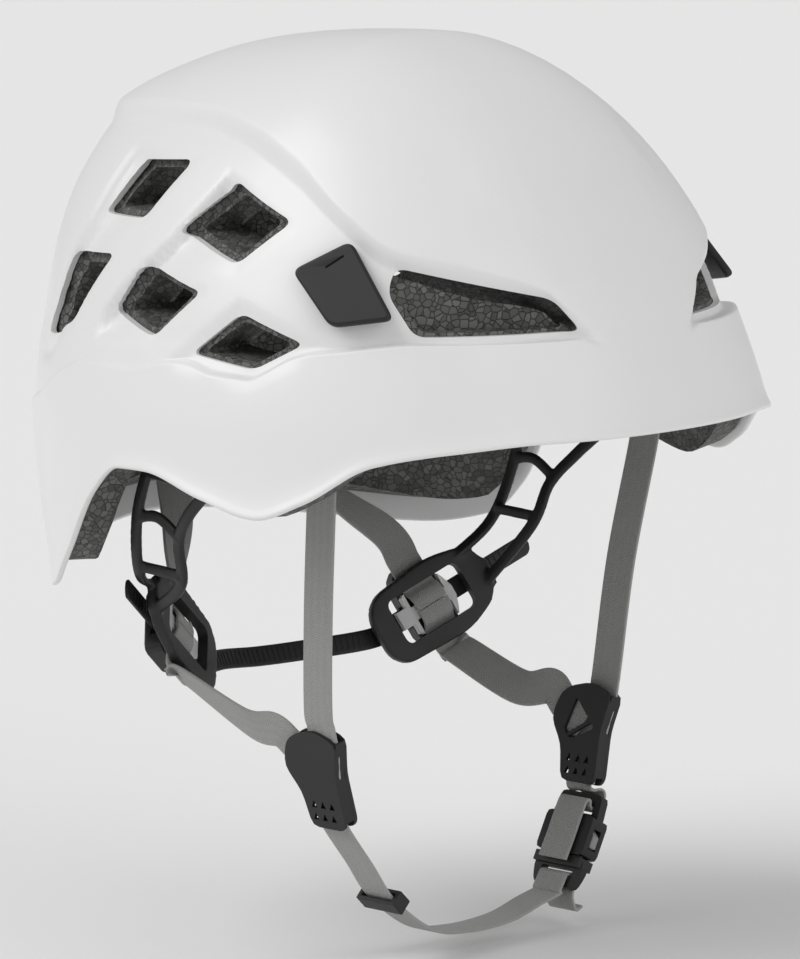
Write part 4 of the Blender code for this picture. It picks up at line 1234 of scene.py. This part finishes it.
left_place, right_place = paddle_place("left"), paddle_place("right")
route = [left_place.at(u, 0, BAND_LEVEL) for u in (PADDLE["left"]["band_end"], 26, 12, -12, -24)]
route += [Vector((22, 63, -101)), Vector((0, 66, -101)), Vector((-22, 63, -99))]
route += [right_place.at(u, 0, BAND_LEVEL) for u in (-24, -12, 12, 26, PADDLE["right"]["band_end"])]


BAND_RUN = 300             # about the band's length
BAND_HALF = 3.7


def round_tip(share):
    reach = min(share, 1 - share) * BAND_RUN / BAND_HALF
    return math.sqrt(max(1 - (1 - min(reach, 1)) ** 2, 0.02))


curve = through(route, 36)
band = strip("nape_strap_band", curve, (left_place.v, right_place.v), 7.4, 1.2, roundness=0.4,
             taper=round_tip)
finish(band, NYLON, "plastic", "cradle", "nape_band")
print("band:", len(band.data.polygons), "faces")

# %% Ribs of the band
RIB_PITCH = 2.0
ribs = []
travelled = 0.0
next_rib = 9.0
for i in range(1, len(curve) - 1):
    travelled += (curve[i] - curve[i - 1]).length
    if travelled <= 9 or travelled < next_rib:
        continue
    next_rib = travelled + RIB_PITCH
    ahead = (curve[i + 1] - curve[i - 1]).normalized()
    share = i / (len(curve) - 1)
    up = left_place.v.lerp(right_place.v, float(smoothstep(share)))
    place = Frame(curve[i], ahead, up)
    ribs.append(plate("rib", place, rectangle(-0.45, 0.45, -2.7, 2.7), -0.85, 0.85))
comb = join(*ribs)
comb.name = comb.data.name = "band_ribs"
soften(comb, 0.22, 2)
finish(comb, NYLON, "plastic", "cradle")
print("ribs:", len(ribs))

# %% [markdown]
# ## Dividers
#
# Where the front and rear webbing meet below each ear, a two-part divider clamps them. Each half has six
# small three-cornered holes. A continuous wall along the front edge joins the halves.

# %% Dividers
DIVIDER_TOP = (70.5, -29.5, -105)
DIVIDER_FOOT = (62.2, -36.5, -139)
SAG = {"right": 0.0, "left": -3.3}
LAYER = (WEB_THICK + TOUCH) / 2
DIVIDER_GAP = LAYER + WEB_THICK / 2 + TOUCH


def divider_place(key):
    """u rearward, v up along the webbing, n out of the helmet."""
    side = SIDES[key]
    top = Vector((DIVIDER_TOP[0] * side, DIVIDER_TOP[1], DIVIDER_TOP[2] + SAG[key]))
    foot = Vector((DIVIDER_FOOT[0] * side, DIVIDER_FOOT[1], DIVIDER_FOOT[2] + SAG[key]))
    place = Frame((top + foot) / 2, (0, 1, 0), top - foot)
    if place.n.x * side < 0:
        place.n.negate()
    return place


for key in SIDES:
    place = divider_place(key)
    for half in ("outer", "inner"):
        cover = packed_copy(f"divider_{half}_{key}", f"divider_{half}_half_{key}")
        soften(cover, 0.42, 3, 30)
        finish(cover, NYLON, "plastic", f"divider_{key}", f"divider_{half}_{key}")
    outline = rounded([(-9.9, 14.5), (-8.3, 14.9), (-6.2, 2), (-7.2, -15), (-8.4, -15), (-7.5, 2)], 0.6)
    wall = plate(f"divider_wall_{key}", place, outline, -DIVIDER_GAP - 0.6, DIVIDER_GAP + 0.6)
    soften(wall, 0.3, 2)
    finish(wall, NYLON, "plastic", f"divider_{key}")
    bar_outline = rounded([(-3.2, 4.6), (-2.0, 5.6), (8.2, -0.9), (7.2, -1.9)], 0.5)
    bar = plate(f"divider_bar_{key}", place, bar_outline, -DIVIDER_GAP - 1.4, -DIVIDER_GAP - 0.1)
    soften(bar, 0.25, 2)
    finish(bar, NYLON, "plastic", f"divider_{key}")
print("dividers done")

# %% [markdown]
# ## Webbing
#
# The harness is woven tape. Runs that cross a joint are not attached to any body.

# %% Front and rear straps
BUCKLE_CENTRE = (54.6, -35, -161)
BUCKLE_ALONG = (0.47, 0.0, 0.883)
FRONT_STRAP = ((80.6, -48, 6), (81.8, -47, -6), (80.6, -45, -22), (76.2, -39, -62))


def mirrored(points, side):
    return [Vector((p[0] * side, p[1], p[2])) for p in points]


def finish_strap(obj, body, *nodes):
    return finish(obj, WEBBING, "webbing", body, *nodes)


for key, side in SIDES.items():
    place = paddle_place(key)
    divider = divider_place(key)
    path = mirrored(FRONT_STRAP, side)
    path += [divider.at(-2.7, 27, LAYER - 0.4), divider.at(-2.7, 19, LAYER), divider.at(-2.7, 12, LAYER),
             divider.at(-1.5, 5, LAYER), divider.at(-0.6, -2.5, LAYER)]
    front_strap = strip(f"front_webbing_{key}", through(path, 14), (0, 1, 0), WEB_WIDTH, WEB_THICK)
    finish_strap(front_strap, "helmet", f"front_strap_{key}")

    upper = mirrored([(17, 106, 6), (25, 88, -16), (37, 70, -44)], side)
    upper += [place.at(0, v, n) for v, n in ((30, 4.0), (18.5, OVER_RIM + 0.1), (12.5, OVER_RIM),
                                             (7.9, OVER_RIM), (5.2, 0.4), (3, IN_WINDOW), (0.3, IN_WINDOW))]
    widths = (Vector((side * 0.8, 0.6, 0)), place.u)
    rear_upper = strip(f"rear_webbing_upper_{key}", through(upper, 14), widths, WEB_WIDTH, WEB_THICK,
                       (0.1, 0.4))
    finish_strap(rear_upper, None, f"rear_strap_upper_{key}")
    place.at(0, 18.5, 2) * MM
    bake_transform(rear_upper)

    low = [place.at(0, v, n) for v, n in ((-0.3, IN_WINDOW), (-3, IN_WINDOW), (-5.2, 0.4), (-7.9, OVER_RIM),
                                          (-12.5, OVER_RIM), (-16, OVER_RIM), (-18, 1.6), (-20, -1.8))]
    low += [(place.at(-0.5, -22, -6) * 0.45 + divider.at(15, 11, -LAYER) * 0.55) + Vector((0, 0, -3.0))]
    low += [divider.at(21, 14.5, -LAYER), divider.at(14, 10, -LAYER), divider.at(8, 6.8, -LAYER),
            divider.at(2, 3.8, -LAYER)]
    widths = (place.u, divider.v)
    rear_lower = strip(f"rear_webbing_lower_{key}", through(low, 14), widths, WEB_WIDTH, WEB_THICK,
                       (0.5, 0.78))
    finish_strap(rear_lower, None, f"rear_strap_lower_{key}")
    place.at(0, -16, 2) * MM
    divider.at(19, 13, 0) * MM
    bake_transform(rear_lower)
print("side straps done")


# %% [markdown]
# The chin strap is made as two runs. The first goes from the right divider under the chin; the second ends
# round the bar of the buckle's plug.

# %% Chin strap
def buckle_place():
    """u across the webbing, v up along it, n out of the loop."""
    place = Frame(BUCKLE_CENTRE, (0, 1, 0), BUCKLE_ALONG)
    if place.n.x < 0:
        place.n.negate()
    return place


CHIN_ROUTE = ((-53, -35.5, -153), (-41, -35, -167.5), (-22, -35, -180.5), (-3, -35, -184), (18, -35, -183.5),
              (33, -35, -180), (42.5, -35, -178))
BAR_CLEAR = 3.0
buckle = buckle_place()
divider = divider_place("right")
start = [divider.at(0, v, 0) for v in (-5.2, -12, -17.5)] + [Vector(p) for p in CHIN_ROUTE]
around = [buckle.at(0, v, n) for v, n in ((-20, -BAR_CLEAR - 0.4), (-16.4, -BAR_CLEAR), (-13.6, -2.6),
                                          (-12.7, -1.0), (-12.7, 1.0), (-13.6, 2.6), (-16.4, BAR_CLEAR),
                                          (-20, 4.2), (-23, 8.0), (-21, 10.4))]
whole = through(start + around, 12)
split = (len(start) - 4) * 12
under_chin = strip("chin_webbing", whole[:split + 1], (0, 1, 0), WEB_WIDTH, WEB_THICK)
finish_strap(under_chin, None)
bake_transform(under_chin)
to_plug = strip("plug_webbing", whole[split:], (0, 1, 0), WEB_WIDTH, WEB_THICK)
finish_strap(to_plug, None, "chin_strap")
buckle.at(0, -20, 0) * MM
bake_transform(to_plug)

divider = divider_place("left")
short = [divider.at(0, v, 0) for v in (-5.2, -12, -18.5)]
short += [buckle.at(0, v, n) for v, n in ((18.6, 2.4), (15.4, BAR_CLEAR), (12.9, 2.7), (11.6, 1.0),
                                          (11.6, -1.0), (12.4, -2.6), (14, -3.6), (13, -5.3), (8, -5.6),
                                          (0, -5.6), (-9, -5.9))]
short_strap = strip("short_chin_webbing", through(short, 14), (0, 1, 0), WEB_WIDTH, WEB_THICK)
finish_strap(short_strap, None, "chin_strap_short")
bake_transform(short_strap)
print("chin strap done")

# %% [markdown]
# ## Buckle, keeper and anchors
#
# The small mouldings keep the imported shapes, with their edges rounded as a mould leaves them.

# %% Small mouldings
for node_name, body, mat, width in (
        ("buckle_socket", "chin_loop", NYLON, 0.6), ("buckle_plug", "plug", NYLON, 0.5),
        ("buckle_latch_front", "latch_front", GREY_LATCH, 0.5),
        ("buckle_latch_rear", "latch_rear", GREY_LATCH, 0.5),
        ("strap_keeper", "keeper", NYLON, 0.5), ("strap_anchor_front_left", "helmet", NYLON, 0.4),
        ("strap_anchor_front_right", "helmet", NYLON, 0.4), ("strap_anchor_rear", "helmet", NYLON, 0.4)):
    moulding = packed_copy(node_name, node_name + "_moulded")
    soften(moulding, width, 3, 30)
    finish(moulding, mat, "plastic", body, node_name)
print("small mouldings done")

# %% [markdown]
# ## Stage
#
# A plain pale floor, a bright even surround and three soft suns show the satin cap. The main one comes from
# above and behind on the wearer's right, a weaker one from the front, and a faint one from below.

# %% Floor, lights and camera
bpy.ops.object.select_all(action="DESELECT")
bpy.ops.mesh.primitive_plane_add(size=8, location=(0, 0, -0.1905))
floor = added("floor")
floor_mat, floor_tree, floor_shader = new_material("floor white", 0.9)
floor_shader.inputs["Base Color"].default_value = (0.9, 0.9, 0.9, 1)
floor.data.materials.append(floor_mat)

world = bpy.data.worlds.new("studio")
bpy.context.scene.world = world
world.use_nodes = True
sky = world.node_tree
dim = sky.nodes["Background"]
dim.inputs["Color"].default_value = (1, 1, 1, 1)
dim.inputs["Strength"].default_value = 0.45
bright = node(sky, "ShaderNodeBackground", Color=(1, 1, 1, 1), Strength=1.0)
seen = sky.nodes.new("ShaderNodeLightPath")
mixed = sky.nodes.new("ShaderNodeMixShader")
sky.links.new(seen.outputs["Is Camera Ray"], mixed.inputs[0])
sky.links.new(dim.outputs[0], mixed.inputs[1])
sky.links.new(bright.outputs[0], mixed.inputs[2])
sky.links.new(mixed.outputs[0], sky.nodes["World Output"].inputs["Surface"])
bpy.context.scene.view_settings.view_transform = "Standard"


def soft_sun(name, towards, strength, angle):
    """Even, soft light; towards points from the helmet to the light."""
    light = bpy.data.lights.new(name, "SUN")
    light.energy = strength
    light.angle = math.radians(angle)
    obj = bpy.data.objects.new(name, light)
    bpy.context.scene.collection.objects.link(obj)
    obj.location = Vector(towards) * 2
    obj.rotation_euler = Vector(towards).to_track_quat("Z", "Y").to_euler()
    return obj


soft_sun("key", (-0.62, 0.45, 0.75), 1.5, 45)
soft_sun("front", (0.1, -0.9, 0.42), 0.75, 60)
soft_sun("low", (-0.6, -0.6, -0.2), 0.12, 60)

AZIMUTH, ELEVATION, DISTANCE = math.radians(-46), math.radians(7.9), 2.2
camera = bpy.data.cameras.new("camera")
camera_object = bpy.data.objects.new("camera", camera)
bpy.context.scene.collection.objects.link(camera_object)
flat = math.cos(ELEVATION)
back = Vector((math.sin(AZIMUTH) * flat, -math.cos(AZIMUTH) * flat, math.sin(ELEVATION)))
camera_object.location = back * DISTANCE
camera_object.rotation_euler = back.to_track_quat("Z", "Y").to_euler()
camera.lens = 237.35
camera.sensor_width = 36
camera.shift_x = (400 - 392.3) / 959
camera.shift_y = -(479.5 - 393.8) / 959
bpy.context.scene.camera = camera_object
